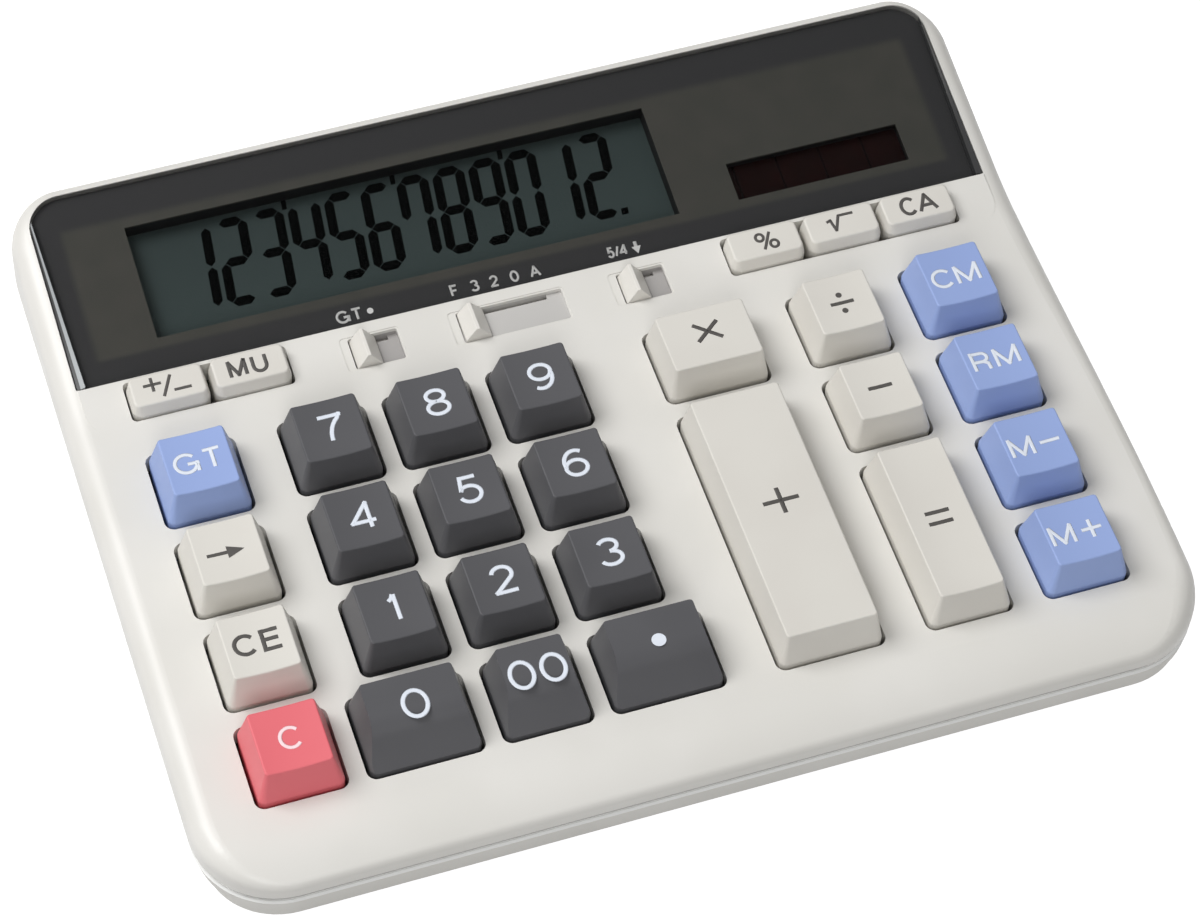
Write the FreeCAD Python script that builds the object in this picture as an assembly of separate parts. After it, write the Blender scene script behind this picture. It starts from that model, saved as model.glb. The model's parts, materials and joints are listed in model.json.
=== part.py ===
"""Desktop calculator with thirty keys, three slide switches, a wide display and a solar cell.

Three frames are used, all with X to the right.
Deck frame: Y runs back from the front edge along the key deck, Z is square to the deck.
Panel frame: Y runs back along the tilted display panel from its lower edge, Z is square to it.
Table frame: Z is straight up from what the calculator stands on. Every piece is written in it.
All sizes are millimetres and degrees.
"""
import FreeCAD, Part
import math
import os

V = FreeCAD.Vector

# Case, seen from above
CASE_WIDTH = 178.5
CASE_DEPTH = 143.4
FRONT_CORNER = 15.0
REAR_CORNER = 10.0
SMALLEST_CORNER = 0.5
WALL = 2.0

# Case, seen from the side
DECK_SLOPE = 6.0
DECK_THICK = 2.2
PARTING_DROP = 6.0
FRONT_HEIGHT = 12.9
FRONT_NOSE_RUN = 10.0
FRONT_NOSE_DROP = 3.2
FRONT_EDGE_RADIUS = 2.0
SIDE_EDGE_RADIUS = 4.2
REAR_EDGE_RADIUS = 2.2
SIDE_TAPER = 15.0
FRONT_TAPER = 1.0
REAR_TAPER = 8.0
SEAM_GROOVE = 1.5
SEAM_GROOVE_DEPTH = 0.6
LIP_HEIGHT = 4.2
LIP_STEP = 0.4
LIP_CHAMFER = 0.35
BOTTOM_EDGE_RADIUS = 0.8
TONGUE_THICK = 1.0
TONGUE_HEIGHT = 1.6
TONGUE_GAP = 0.15
TONGUE_LEDGE = 2.0

# Display panel
BLEND_START = 92.5
BLEND_LENGTH = 10.8
PANEL_TILT = 10.0
PLATFORM_WIDTH = 170.4
PLATFORM_RISE = 0.42
PLATFORM_CORNER = 5.5
WINDOW_LENGTH = 38.0
WINDOW_CORNER = 6.0
WINDOW_FRONT_CORNER = 0.4
WINDOW_THICK = 1.6
WINDOW_PROUD = 0.3
WINDOW_GAP = 0.25
WINDOW_BEVEL_FRONT = 1.5
WINDOW_BEVEL_BACK = 0.3
MASK_THICK = 0.45
MASK_GAP = 0.05
PANEL_FLOOR = 3.6

# Display and solar cell openings in the mask, in the panel frame
SCREEN_CENTRE = -20.2
SCREEN_WIDTH = 97.6
SCREEN_START = 6.8
SCREEN_LENGTH = 22.7
SOLAR_CENTRE = 56.65
SOLAR_WIDTH = 33.3
SOLAR_START = 6.7
SOLAR_LENGTH = 7.7

# Black moulding that holds the display and the solar cell
BEZEL_FLANGE_THICK = 1.45
BEZEL_GAP = 0.1
BEZEL_WALL = 0.8
RIM_THICK = 1.2
RIM_SHOULDER = 0.2
GLASS_MARGIN = 3.2
GLASS_THICK = 1.1
GLASS_LEDGE = 2.5
GLASS_GAP = 0.1
RIM_DEPTH = 3.0
CELL_MARGIN = 1.0
CELL_THICK = 1.3
CELL_DEPTH = 3.35

# Key layout
KEY_PITCH = 19.0
KEY_HOLE = 16.1
WIDE_HOLE = 19.8
ZERO_HOLE = 20.5
HOLE_RADIUS = 1.8
OUTER_COLUMN = 69.7
DIGIT_COLUMN = -46.2
PLUS_COLUMN = 22.85
MINUS_COLUMN = 48.1
FIRST_ROW = 21.85
SMALL_EDGE = 77.55
SMALL_PITCH = 14.76
SMALL_START = 94.4
SMALL_LENGTH = 8.0

# Keycaps
KEY_GAP = 0.65
KEY_HEIGHT = 7.0
KEY_SKIRT_RADIUS = 1.25
KEY_TOP_RADIUS = 0.6
KEY_TOP_EDGE = 0.3
KEY_DISH = 0.3
KEY_SHOULDER = 0.5
KEY_SIDE_INSET = 1.65
WIDE_SIDE_INSET = 1.15
KEY_FRONT_INSET = 1.55
KEY_BACK_INSET = 1.35
SLOPED_FRONT_INSET = 5.3
SLOPED_FRONT_RADIUS = 5.0
KEY_WALL = 1.2
KEY_ROOF = 1.6
KEY_TRAVEL = 2.6
SMALL_GAP = 0.7
SMALL_HEIGHT = 2.9
SMALL_SIDE_INSET = 0.55
SMALL_FRONT_INSET = 0.75
SMALL_BACK_INSET = 0.6
SMALL_TOP_TILT = 5.5
SMALL_SKIRT_RADIUS = 1.8
SMALL_TOP_RADIUS = 1.0
SMALL_TOP_EDGE = 0.45
SMALL_WALL = 1.0
STEM_RADIUS = 2.0
SMALL_STEM_RADIUS = 1.6
HOOK_LENGTH = 6.0
HOOK_REACH = 1.05
SMALL_HOOK_REACH = 0.85
HOOK_THICK = 0.8
HOOK_GAP = 0.15
COLLAR_THICK = 1.1
COLLAR_DROP = 4.2

# Key mat and main board
DOME_GAP = 0.1
DOME_HEIGHT = 2.75
DOME_BASE = 4.2
DOME_TOP = 2.4
DOME_WALL = 0.6
DOME_ROOF = 0.75
PILL_RADIUS = 1.5
PILL_THICK = 0.5
MAT_THICK = 0.7
MAT_HALF_WIDTH = 78.0
MAT_START = 13.2
MAT_END = 103.2
MAT_HOLE_GAP = 0.4
BOARD_THICK = 1.2
BOARD_HALF_WIDTH = 84.0
BOARD_START = 12.5
BOARD_END = 108.0
BOARD_CORNER = 3.0

# Screws and their bosses
BOARD_BOSS = 2.1
BOARD_SCREW = 0.95
BOARD_SCREW_REACH = 3.6
BOARD_HEAD = 2.0
BOARD_HEAD_THICK = 1.2
BOARD_HOLE_GAP = 0.25
CASE_BOSS = 2.8
CASE_POST = 3.5
CASE_SCREW = 1.3
CASE_SCREW_LENGTH = 6.6
CASE_HEAD = 2.4
CASE_HEAD_THICK = 1.8
CASE_SCREW_FLOOR = 3.0
CASE_HOLE_GAP = 0.2
CASE_HEAD_GAP = 0.3
BOSS_OVERHANG = 1.0
THREAD_GAP = 0.03
PILOT_SPARE = 0.4
EDGE_BOSS_COLUMN = 81.5
LEFT_BOSS_COLUMN = -58.0
MIDDLE_BOSS_COLUMN = 8.2
RIGHT_BOSS_COLUMN = 58.9
REAR_BOSS_ROW = 90.5
FRONT_SCREW_COLUMN = 62.0
FRONT_SCREW_ROW = 7.0
REAR_SCREW_COLUMN = 79.6
REAR_SCREW_ROW = 134.5

# Slide switches
POCKET_START = 94.3
POCKET_LENGTH = 6.3
POCKET_DEPTH = 1.1
SHALLOW_POCKET_DEPTH = 0.5
POCKET_RADIUS = 0.4
POCKET_RIM = 0.35
POCKET_RIM_LEFT = 1.5
POCKET_RIM_DEPTH = 0.25
POCKET_MARGIN = 0.3
KNOB_LENGTH = 4.7
KNOB_WIDTH = 6.1
KNOB_TOP = 3.0
KNOB_CREST = 0.6
KNOB_LEAN = 0.2
KNOB_BASE = 0.7
KNOB_GAP = 0.05
LEG_LENGTH = 1.6
LEG_WIDTH = 3.0
NECK_WIDTH = 0.7
SLOT_GAP = 0.15
PLATE_BEHIND = 1.3
PLATE_WIDTH = 6.6
PLATE_THICK = 0.8
WIPER_HALF_LENGTH = 2.2
WIPER_HALF_WIDTH = 0.85
WIPER_THICK = 0.2
WIPER_DROP = 0.85
WIPER_BUMP = 0.4
SWITCH_CLEARANCE = 3.4
TOTAL_SWITCH_LEFT = -37.1
DECIMAL_SWITCH_LEFT = -17.1
ROUNDING_SWITCH_LEFT = 13.0
TOTAL_TRAVEL = 3.8
DECIMAL_TRAVEL = 14.5
ROUNDING_TRAVEL = 3.5
TOTAL_PLATE = 5.0
DECIMAL_PLATE = 15.0
ROUNDING_PLATE = 4.7
DECIMAL_LEG_SHIFT = -1.1

# Levelling wires of the two long keys
WIRE_RADIUS = 0.5
WIRE_ARM = 5.6
WIRE_PIVOT_DROP = 5.6
WIRE_PIVOT_OUT = 2.0
WIRE_BEND = 0.9
WIRE_PIN = 2.6
WIRE_END_MARGIN = 3.6
LUG_THICK = 2.0
LUG_HALF_WIDTH = 1.15
LUG_BELOW = 1.2
WIRE_RUNNING_GAP = 0.06
WIRE_SLOT_GAP = 0.15
WIRE_SLOT_SLACK = 0.35
WIRE_NOTCH_GAP = 0.45
HANGER_THICK = 1.2
HANGER_MARGIN = 8.0
HANGER_HALF_WIDTH = 1.9

# Button cell, its holder and its door, in the table frame
CELL_X = 45.0
CELL_Y = 113.0
BUTTON_RADIUS = 5.8
BUTTON_HEIGHT = 5.4
BUTTON_GAP = 0.3
HOLDER_WALL = 2.6
HOLDER_ROOF = 1.5
CONTACT_THICK = 0.3
CONTACT_WIDTH = 4.0
CONTACT_SPACE = 1.2
TAB_LENGTH = 2.5
DOOR_HALF_WIDTH = 10.0
DOOR_FRONT = 11.0
DOOR_BACK = 13.0
DOOR_THICK = 1.6
DOOR_GAP = 0.15
DOOR_CORNER = 1.5
DOOR_PAD = 2.0
DOOR_TONGUE_WIDTH = 8.0
DOOR_TONGUE_REACH = 1.4
DOOR_TONGUE_THICK = 0.8
DOOR_SCREW = 0.95
DOOR_SCREW_REACH = 5.0
DOOR_SCREW_EDGE = 3.2
DOOR_HEAD = 1.9
DOOR_HEAD_THICK = 0.8
DOOR_HEAD_SINK = 0.9
DOOR_POST = 2.5

# Feet
FOOT_RADIUS = 5.5
FOOT_SHOW = 1.4
FOOT_SINK = 0.6
FOOT_GAP = 0.15
FOOT_EDGE = 0.5
FRONT_FOOT_COLUMN = 70.0
FRONT_FOOT_ROW = 15.0
REAR_FOOT_COLUMN = 66.0
REAR_FOOT_ROW = 127.0

# Electronics on the board and its wiring
CHIP_RADIUS = 7.0
CHIP_HEIGHT = 1.7
CHIP_X = -20.0
CHIP_Y = 84.0
CAPACITOR_RADIUS = 2.5
CAPACITOR_HEIGHT = 5.5
CAPACITOR_SPACING = 7.0
CAPACITOR_X = 20.0
CAPACITOR_Y = 99.0
RIBBON_WIDTH = 66.0
RIBBON_THICK = 0.15
RIBBON_BEND = 0.7
LEAD_RADIUS = 0.5
LEAD_BEND = 1.5
LEAD_SPACING = 4.0
LEAD_DROP = 3.0

# Worked out from the sizes above
SLOPE = math.radians(DECK_SLOPE)
TILT = math.radians(PANEL_TILT)
HALF_WIDTH = CASE_WIDTH / 2
NOSE_RADIUS = (FRONT_NOSE_RUN ** 2 + FRONT_NOSE_DROP ** 2) / (2 * FRONT_NOSE_DROP)
BLEND_RADIUS = BLEND_LENGTH / math.sin(TILT)
PANEL_Y = BLEND_START + BLEND_LENGTH
PANEL_Z = BLEND_RADIUS * (1 - math.cos(TILT))
PLATFORM_SHIFT = PLATFORM_RISE / math.tan(TILT)
DECK_LIFT = FOOT_SHOW + FRONT_HEIGHT * math.cos(SLOPE)
SKIRT_BOTTOM = -(COLLAR_DROP + HOOK_GAP + HOOK_THICK)
STEM_BOTTOM = SKIRT_BOTTOM - HOOK_GAP
DOME_TOP_Z = STEM_BOTTOM - DOME_GAP
MAT_TOP = DOME_TOP_Z - DOME_HEIGHT
BOARD_TOP = MAT_TOP - MAT_THICK
BOARD_BOTTOM = BOARD_TOP - BOARD_THICK
MATE_Z = -PARTING_DROP - BOSS_OVERHANG
FLOOR_TOP = FOOT_SHOW + WALL
MASK_TOP = WINDOW_PROUD - WINDOW_THICK - MASK_GAP
MASK_BOTTOM = MASK_TOP - MASK_THICK
RECESS_FLOOR = MASK_BOTTOM - MASK_GAP
BEZEL_TOP = RECESS_FLOOR - BEZEL_GAP
BEZEL_LEFT = SCREEN_CENTRE - SCREEN_WIDTH / 2 - GLASS_MARGIN
BEZEL_RIGHT = SOLAR_CENTRE + SOLAR_WIDTH / 2 + CELL_MARGIN + GLASS_GAP + BEZEL_WALL
BEZEL_START = SCREEN_START - GLASS_MARGIN
BEZEL_END = SCREEN_START + SCREEN_LENGTH + GLASS_MARGIN
BEZEL_FLANGE = GLASS_GAP + RIM_THICK + RIM_SHOULDER
FLANGE_TOP = -PANEL_FLOOR - BEZEL_GAP
FLANGE_BOTTOM = FLANGE_TOP - BEZEL_FLANGE_THICK
BEYOND = 50.0

PANEL = FreeCAD.Placement(V(0, PANEL_Y, PANEL_Z), FreeCAD.Rotation(V(1, 0, 0), PANEL_TILT))
TABLE = FreeCAD.Placement(V(0, 0, DECK_LIFT), FreeCAD.Rotation(V(1, 0, 0), DECK_SLOPE))


def column(index):
    """Centre of a digit column, counted from the 7-4-1 column."""
    return DIGIT_COLUMN + index * KEY_PITCH


def row(index):
    """Centre of a key row, counted from the row nearest the user."""
    return FIRST_ROW + index * KEY_PITCH


class Key:
    """One key: its name, its hole in the deck and the slopes of its cap."""

    def __init__(self, name, x, y, width=KEY_HOLE, length=KEY_HOLE, side=KEY_SIDE_INSET,
                 front=KEY_FRONT_INSET, small=False):
        self.name = name
        self.x = x
        self.y = y
        self.small = small
        self.hole_width = width
        self.hole_length = length
        gap = SMALL_GAP / 2 if small else KEY_GAP
        self.width = width - 2 * gap
        self.length = length - 2 * gap
        self.height = SMALL_HEIGHT if small else KEY_HEIGHT
        self.side = side
        self.front = front
        self.back = SMALL_BACK_INSET if small else KEY_BACK_INSET
        self.tilt = SMALL_TOP_TILT if small else 0
        self.skirt_radius = SMALL_SKIRT_RADIUS if small else KEY_SKIRT_RADIUS
        self.top_radius = SMALL_TOP_RADIUS if small else KEY_TOP_RADIUS
        self.top_edge = SMALL_TOP_EDGE if small else KEY_TOP_EDGE
        self.wall = SMALL_WALL if small else KEY_WALL
        self.dished = width == KEY_HOLE and front == KEY_FRONT_INSET
        self.stem = SMALL_STEM_RADIUS if small else STEM_RADIUS


def main_keys():
    keys = []
    for name, index in (("clear", 0), ("clear_entry", 1), ("backspace", 2), ("grand_total", 3)):
        keys.append(Key("key_" + name, -OUTER_COLUMN, row(index)))
    for name, index in (("memory_plus", 0), ("memory_minus", 1), ("memory_recall", 2), ("memory_clear", 3)):
        keys.append(Key("key_" + name, OUTER_COLUMN, row(index)))
    for digit in range(1, 10):
        keys.append(Key("key_%d" % digit, column((digit - 1) % 3), row(1 + (digit - 1) // 3)))
    zero_x = column(0) + (KEY_HOLE - ZERO_HOLE) / 2
    point_x = column(2) + (ZERO_HOLE - KEY_HOLE) / 2
    keys.append(Key("key_0", zero_x, row(0), ZERO_HOLE, front=SLOPED_FRONT_INSET))
    keys.append(Key("key_00", column(1), row(0), front=SLOPED_FRONT_INSET))
    keys.append(Key("key_point", point_x, row(0), ZERO_HOLE, front=SLOPED_FRONT_INSET))
    keys.append(Key("key_multiply", PLUS_COLUMN, row(3), WIDE_HOLE, side=WIDE_SIDE_INSET))
    keys.append(Key("key_divide", MINUS_COLUMN, row(3)))
    keys.append(Key("key_minus", MINUS_COLUMN, row(2)))
    keys.append(Key("key_plus", PLUS_COLUMN, row(1), WIDE_HOLE, KEY_HOLE + 2 * KEY_PITCH, WIDE_SIDE_INSET))
    keys.append(Key("key_equals", MINUS_COLUMN, row(0.5), KEY_HOLE, KEY_HOLE + KEY_PITCH))
    return keys


LEFT_SMALL = ("sign", "markup")
RIGHT_SMALL = ("percent", "root", "clear_all")
SMALL_GROUPS = (
    (-SMALL_EDGE, LEFT_SMALL),
    (SMALL_EDGE - len(RIGHT_SMALL) * SMALL_PITCH, RIGHT_SMALL),
)


def small_keys():
    keys = []
    for left, names in SMALL_GROUPS:
        for index, name in enumerate(names):
            x = left + (index + 0.5) * SMALL_PITCH
            y = SMALL_START + SMALL_LENGTH / 2
            keys.append(Key("key_" + name, x, y, SMALL_PITCH, SMALL_LENGTH, SMALL_SIDE_INSET,
                            SMALL_FRONT_INSET, small=True))
    return keys


class Switch:
    """One slide switch: its name, the left end of its pocket, its knob's travel and its plate's reach."""

    def __init__(self, name, left, travel, plate, depth=POCKET_DEPTH, leg_shift=0.0):
        self.name = name
        self.travel = travel
        self.plate = plate
        self.left = left
        self.depth = depth
        self.length = KNOB_LENGTH + self.travel + 2 * POCKET_MARGIN
        self.knob_x = left + POCKET_MARGIN + KNOB_LENGTH / 2
        self.leg_x = self.knob_x + leg_shift
        self.y = POCKET_START + POCKET_LENGTH / 2
        self.neck_back = POCKET_START + POCKET_LENGTH - SLOT_GAP


SWITCHES = (
    Switch("total", TOTAL_SWITCH_LEFT, TOTAL_TRAVEL, TOTAL_PLATE),
    Switch("decimal", DECIMAL_SWITCH_LEFT, DECIMAL_TRAVEL, DECIMAL_PLATE, SHALLOW_POCKET_DEPTH,
           DECIMAL_LEG_SHIFT),
    Switch("rounding", ROUNDING_SWITCH_LEFT, ROUNDING_TRAVEL, ROUNDING_PLATE),
)
MAIN_KEYS = main_keys()
SMALL_KEYS = small_keys()
KEYS = MAIN_KEYS + SMALL_KEYS

BOARD_SCREWS = (
    (-EDGE_BOSS_COLUMN, row(0.5)), (-EDGE_BOSS_COLUMN, REAR_BOSS_ROW),
    (EDGE_BOSS_COLUMN, row(0.5)), (EDGE_BOSS_COLUMN, REAR_BOSS_ROW),
    (LEFT_BOSS_COLUMN, row(1.5)), (LEFT_BOSS_COLUMN, REAR_BOSS_ROW),
    (MIDDLE_BOSS_COLUMN, row(0.5)), (MIDDLE_BOSS_COLUMN, row(2)), (MIDDLE_BOSS_COLUMN, REAR_BOSS_ROW),
    (RIGHT_BOSS_COLUMN, row(0.5)), (RIGHT_BOSS_COLUMN, REAR_BOSS_ROW),
)
CASE_SCREWS = (
    (-FRONT_SCREW_COLUMN, FRONT_SCREW_ROW), (FRONT_SCREW_COLUMN, FRONT_SCREW_ROW),
    (-REAR_SCREW_COLUMN, REAR_SCREW_ROW), (REAR_SCREW_COLUMN, REAR_SCREW_ROW),
)
FEET = (
    (-FRONT_FOOT_COLUMN, FRONT_FOOT_ROW), (FRONT_FOOT_COLUMN, FRONT_FOOT_ROW),
    (-REAR_FOOT_COLUMN, REAR_FOOT_ROW), (REAR_FOOT_COLUMN, REAR_FOOT_ROW),
)


# Plain shapes

def box(x0, x1, y0, y1, z0, z1):
    return Part.makeBox(x1 - x0, y1 - y0, z1 - z0, V(x0, y0, z0))


def rod(x, y, z0, z1, radius):
    return Part.makeCylinder(radius, z1 - z0, V(x, y, z0))


def rounded_wire(x0, x1, y0, y1, z, radii):
    """Rectangle at height z with its own radius at each corner, from the front left anticlockwise."""
    corners = ((x0, y0, 1, 1), (x1, y0, -1, 1), (x1, y1, -1, -1), (x0, y1, 1, -1))
    arcs = []
    for index, (x, y, sx, sy) in enumerate(corners):
        r = radii[index]
        inset = r * (1 - math.sqrt(0.5))
        along_y = V(x, y + sy * r, z)
        middle = V(x + sx * inset, y + sy * inset, z)
        along_x = V(x + sx * r, y, z)
        ends = (along_y, middle, along_x) if index % 2 == 0 else (along_x, middle, along_y)
        arcs.append(ends)
    edges = []
    for index, ends in enumerate(arcs):
        edges.append(Part.Arc(*ends).toShape())
        edges.append(Part.makeLine(ends[2], arcs[(index + 1) % 4][0]))
    return Part.Wire(edges)


def rounded_box(x0, x1, y0, y1, z0, z1, radius):
    wire = rounded_wire(x0, x1, y0, y1, z0, (radius,) * 4)
    return Part.Face(wire).extrude(V(0, 0, z1 - z0))


def side_plate(points, x0, x1):
    """Flat outline in the YZ plane, carried across from x0 to x1."""
    wire = Part.makePolygon([V(x0, y, z) for y, z in points + points[:1]])
    return Part.Face(wire).extrude(V(x1 - x0, 0, 0))


def on_panel(shape):
    """Takes a shape from the panel frame to the deck frame."""
    placed = shape.copy()
    placed.Placement = PANEL.multiply(placed.Placement)
    return placed


def panel_point(y, z):
    """Y and Z in the deck frame of a point of the panel frame."""
    return (PANEL_Y + y * math.cos(TILT) - z * math.sin(TILT),
            PANEL_Z + y * math.sin(TILT) + z * math.cos(TILT))


def from_table(shape):
    """Takes a shape from the table frame to the deck frame."""
    placed = shape.copy()
    placed.Placement = TABLE.inverse().multiply(placed.Placement)
    return placed


def table_point(point):
    """Takes a point from the table frame to the deck frame."""
    return TABLE.inverse().multVec(point)


def bent_path(points, bend):
    """Straight runs through the points, joined by tangent arcs of one radius."""
    edges = []
    start = points[0]
    for before, corner, after in zip(points, points[1:], points[2:]):
        back = (before - corner).normalize()
        ahead = (after - corner).normalize()
        half_turn = (math.pi - back.getAngle(ahead)) / 2
        reach = bend * math.tan(half_turn)
        first = corner + back * reach
        last = corner + ahead * reach
        inward = (back + ahead).normalize()
        middle = corner + inward * (bend / math.cos(half_turn) - bend)
        edges.append(Part.makeLine(start, first))
        edges.append(Part.Arc(first, middle, last).toShape())
        start = last
    edges.append(Part.makeLine(start, points[-1]))
    return Part.Wire(edges)


def wire_rod(points, radius, bend):
    """Round rod or lead along a bent path."""
    path = bent_path(points, bend)
    direction = points[1] - points[0]
    ring = Part.Wire([Part.makeCircle(radius, points[0], direction)])
    return path.makePipeShell([ring], True, True)


def bent_strip(points, thick, bend, x0, x1):
    """Thin strip bent along points in the YZ plane."""
    centre = [V(x0, y, z) for y, z in points]
    sides = []
    for side in (1, -1):
        shifted = []
        for index, point in enumerate(centre):
            ways = []
            if index > 0:
                ways.append((point - centre[index - 1]).normalize())
            if index < len(centre) - 1:
                ways.append((centre[index + 1] - point).normalize())
            normals = [V(0, -way.z, way.y) for way in ways]
            mean = sum(normals[1:], normals[0]).normalize()
            shifted.append(point + mean * (side * thick / 2 / mean.dot(normals[0])))
        sides.append(shifted)
    edges = bent_path(sides[0], bend).Edges + bent_path(sides[1], bend).Edges
    edges.append(Part.makeLine(sides[0][0], sides[1][0]))
    edges.append(Part.makeLine(sides[0][-1], sides[1][-1]))
    wire = Part.Wire(Part.__sortEdges__(edges))
    return Part.Face(wire).extrude(V(x1 - x0, 0, 0))


def join(shapes):
    first, rest = shapes[0], shapes[1:]
    return first.fuse(rest).removeSplitter() if rest else first


def cut_all(shape, tools):
    for tool in tools:
        shape = shape.cut(tool)
    return shape


# Outer shell

def outline(z, side=0.0, front=0.0, rear=0.0):
    """Outline of the case at height z, drawn in by the given amounts."""
    front_radius = max(FRONT_CORNER - side, SMALLEST_CORNER)
    rear_radius = max(REAR_CORNER - side, SMALLEST_CORNER)
    return rounded_wire(-HALF_WIDTH + side, HALF_WIDTH - side, front, CASE_DEPTH - rear, z,
                        (front_radius, front_radius, rear_radius, rear_radius))


def plan_block(z0, z1, inset=0.0):
    return Part.Face(outline(z0, inset, inset, inset)).extrude(V(0, 0, z1 - z0))


def nose_height(y):
    """Height of the rounded nose at a distance from the front edge."""
    return math.sqrt(NOSE_RADIUS ** 2 - (FRONT_NOSE_RUN - y) ** 2) - NOSE_RADIUS


def top_surface_block(shift):
    """Everything under the nose, the key deck, the blend and the panel, shifted back by shift."""
    drop = FRONT_NOSE_DROP
    nose_front = V(0, 0, -drop)
    nose_middle = V(0, FRONT_NOSE_RUN / 2, nose_height(FRONT_NOSE_RUN / 2))
    nose_back = V(0, FRONT_NOSE_RUN, 0)
    blend_front = V(0, BLEND_START + shift, 0)
    blend_middle = V(0, BLEND_START + shift + BLEND_RADIUS * math.sin(TILT / 2),
                     BLEND_RADIUS * (1 - math.cos(TILT / 2)))
    blend_back = V(0, PANEL_Y + shift, PANEL_Z)
    far = CASE_DEPTH + BEYOND
    panel_back = V(0, far, PANEL_Z + (far - PANEL_Y - shift) * math.tan(TILT))
    low_back = V(0, far, -BEYOND)
    low_front = V(0, -BEYOND, -BEYOND)
    high_front = V(0, -BEYOND, -drop)
    edges = [
        Part.Arc(nose_front, nose_middle, nose_back).toShape(),
        Part.makeLine(nose_back, blend_front),
        Part.Arc(blend_front, blend_middle, blend_back).toShape(),
        Part.makeLine(blend_back, panel_back),
        Part.makeLine(panel_back, low_back),
        Part.makeLine(low_back, low_front),
        Part.makeLine(low_front, high_front),
        Part.makeLine(high_front, nose_front),
    ]
    face = Part.Face(Part.Wire(edges))
    face.translate(V(-CASE_WIDTH, 0, 0))
    return face.extrude(V(2 * CASE_WIDTH, 0, 0))


def on_outline(point):
    """Whether a point is on the vertical wall of the case."""
    x, y = abs(point.x), point.y
    near = 1e-3
    for radius, corner_y in ((FRONT_CORNER, FRONT_CORNER), (REAR_CORNER, CASE_DEPTH - REAR_CORNER)):
        beyond = y < corner_y if corner_y == FRONT_CORNER else y > corner_y
        if x > HALF_WIDTH - radius and beyond:
            reach = math.hypot(x - HALF_WIDTH + radius, y - corner_y)
            return abs(reach - radius) < near
    return abs(x - HALF_WIDTH) < near or abs(y) < near or abs(y - CASE_DEPTH) < near


def edge_radius(point):
    """Rounding of the case's upper edge, which changes steadily round each corner."""
    x = abs(point.x)
    if point.y < FRONT_CORNER:
        turn = math.atan2(max(x - HALF_WIDTH + FRONT_CORNER, 0), FRONT_CORNER - point.y)
        share = turn / (math.pi / 2)
        return FRONT_EDGE_RADIUS + (SIDE_EDGE_RADIUS - FRONT_EDGE_RADIUS) * share
    if point.y > CASE_DEPTH - REAR_CORNER:
        turn = math.atan2(max(x - HALF_WIDTH + REAR_CORNER, 0), point.y - CASE_DEPTH + REAR_CORNER)
        share = turn / (math.pi / 2)
        return REAR_EDGE_RADIUS + (SIDE_EDGE_RADIUS - REAR_EDGE_RADIUS) * share
    return SIDE_EDGE_RADIUS


def round_upper_edge(body):
    document = FreeCAD.newDocument("case")
    base = document.addObject("Part::Feature", "base")
    base.Shape = body
    chosen = []
    for number, edge in enumerate(body.Edges, 1):
        start = edge.valueAt(edge.FirstParameter)
        end = edge.valueAt(edge.LastParameter)
        middle = edge.valueAt((edge.FirstParameter + edge.LastParameter) / 2)
        upright = math.hypot(start.x - end.x, start.y - end.y) < 1e-3
        low = middle.z < -PARTING_DROP + 1e-3
        if on_outline(middle) and not upright and not low:
            chosen.append((number, edge_radius(start), edge_radius(end)))
    rounding = document.addObject("Part::Fillet", "rounding")
    rounding.Base = base
    rounding.Edges = chosen
    document.recompute()
    shape = rounding.Shape.copy()
    FreeCAD.closeDocument(document.Name)
    return shape


def platform_block():
    """Raised field that carries the window, the small keys and the switches."""
    half = PLATFORM_WIDTH / 2
    back = panel_point(WINDOW_LENGTH + WINDOW_GAP, 0)[0]
    wire = rounded_wire(-half, half, BLEND_START, back, -DECK_THICK,
                        (PLATFORM_CORNER, PLATFORM_CORNER, WINDOW_CORNER, WINDOW_CORNER))
    return Part.Face(wire).extrude(V(0, 0, BEYOND)).common(top_surface_block(0))


def top_cavity():
    """Space inside the top case: under the deck, the small-key band and the panel."""
    panel_start = panel_point(0, -PANEL_FLOOR)
    panel_end = panel_point(CASE_DEPTH, -PANEL_FLOOR)
    low = -PARTING_DROP - BEYOND
    nose_under = nose_height(WALL) - DECK_THICK
    points = [(-BEYOND, low), (-BEYOND, nose_under), (WALL, nose_under), (FRONT_NOSE_RUN, -DECK_THICK),
              (SMALL_START + SMALL_LENGTH, -DECK_THICK), panel_start, panel_end, (panel_end[0], low)]
    return side_plate(points, -CASE_WIDTH, CASE_WIDTH).common(plan_block(low, BEYOND, WALL))


def key_hole(key, z0, z1, grow=0.0):
    half_x = key.hole_width / 2 + grow
    half_y = key.hole_length / 2 + grow
    return rounded_box(key.x - half_x, key.x + half_x, key.y - half_y, key.y + half_y, z0, z1,
                       HOLE_RADIUS + grow)


def small_hole(left, names, z0, z1, grow=0.0):
    right = left + len(names) * SMALL_PITCH
    return rounded_box(left - grow, right + grow, SMALL_START - grow, SMALL_START + SMALL_LENGTH + grow,
                       z0, z1, SMALL_TOP_RADIUS + grow)


def under_surface(tool):
    """Keeps what lies inside the thickness of the deck and the panel, or below it."""
    limit = top_surface_block(PLATFORM_SHIFT)
    limit.translate(V(0, 0, -DECK_THICK / 2))
    return tool.common(limit)


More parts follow.
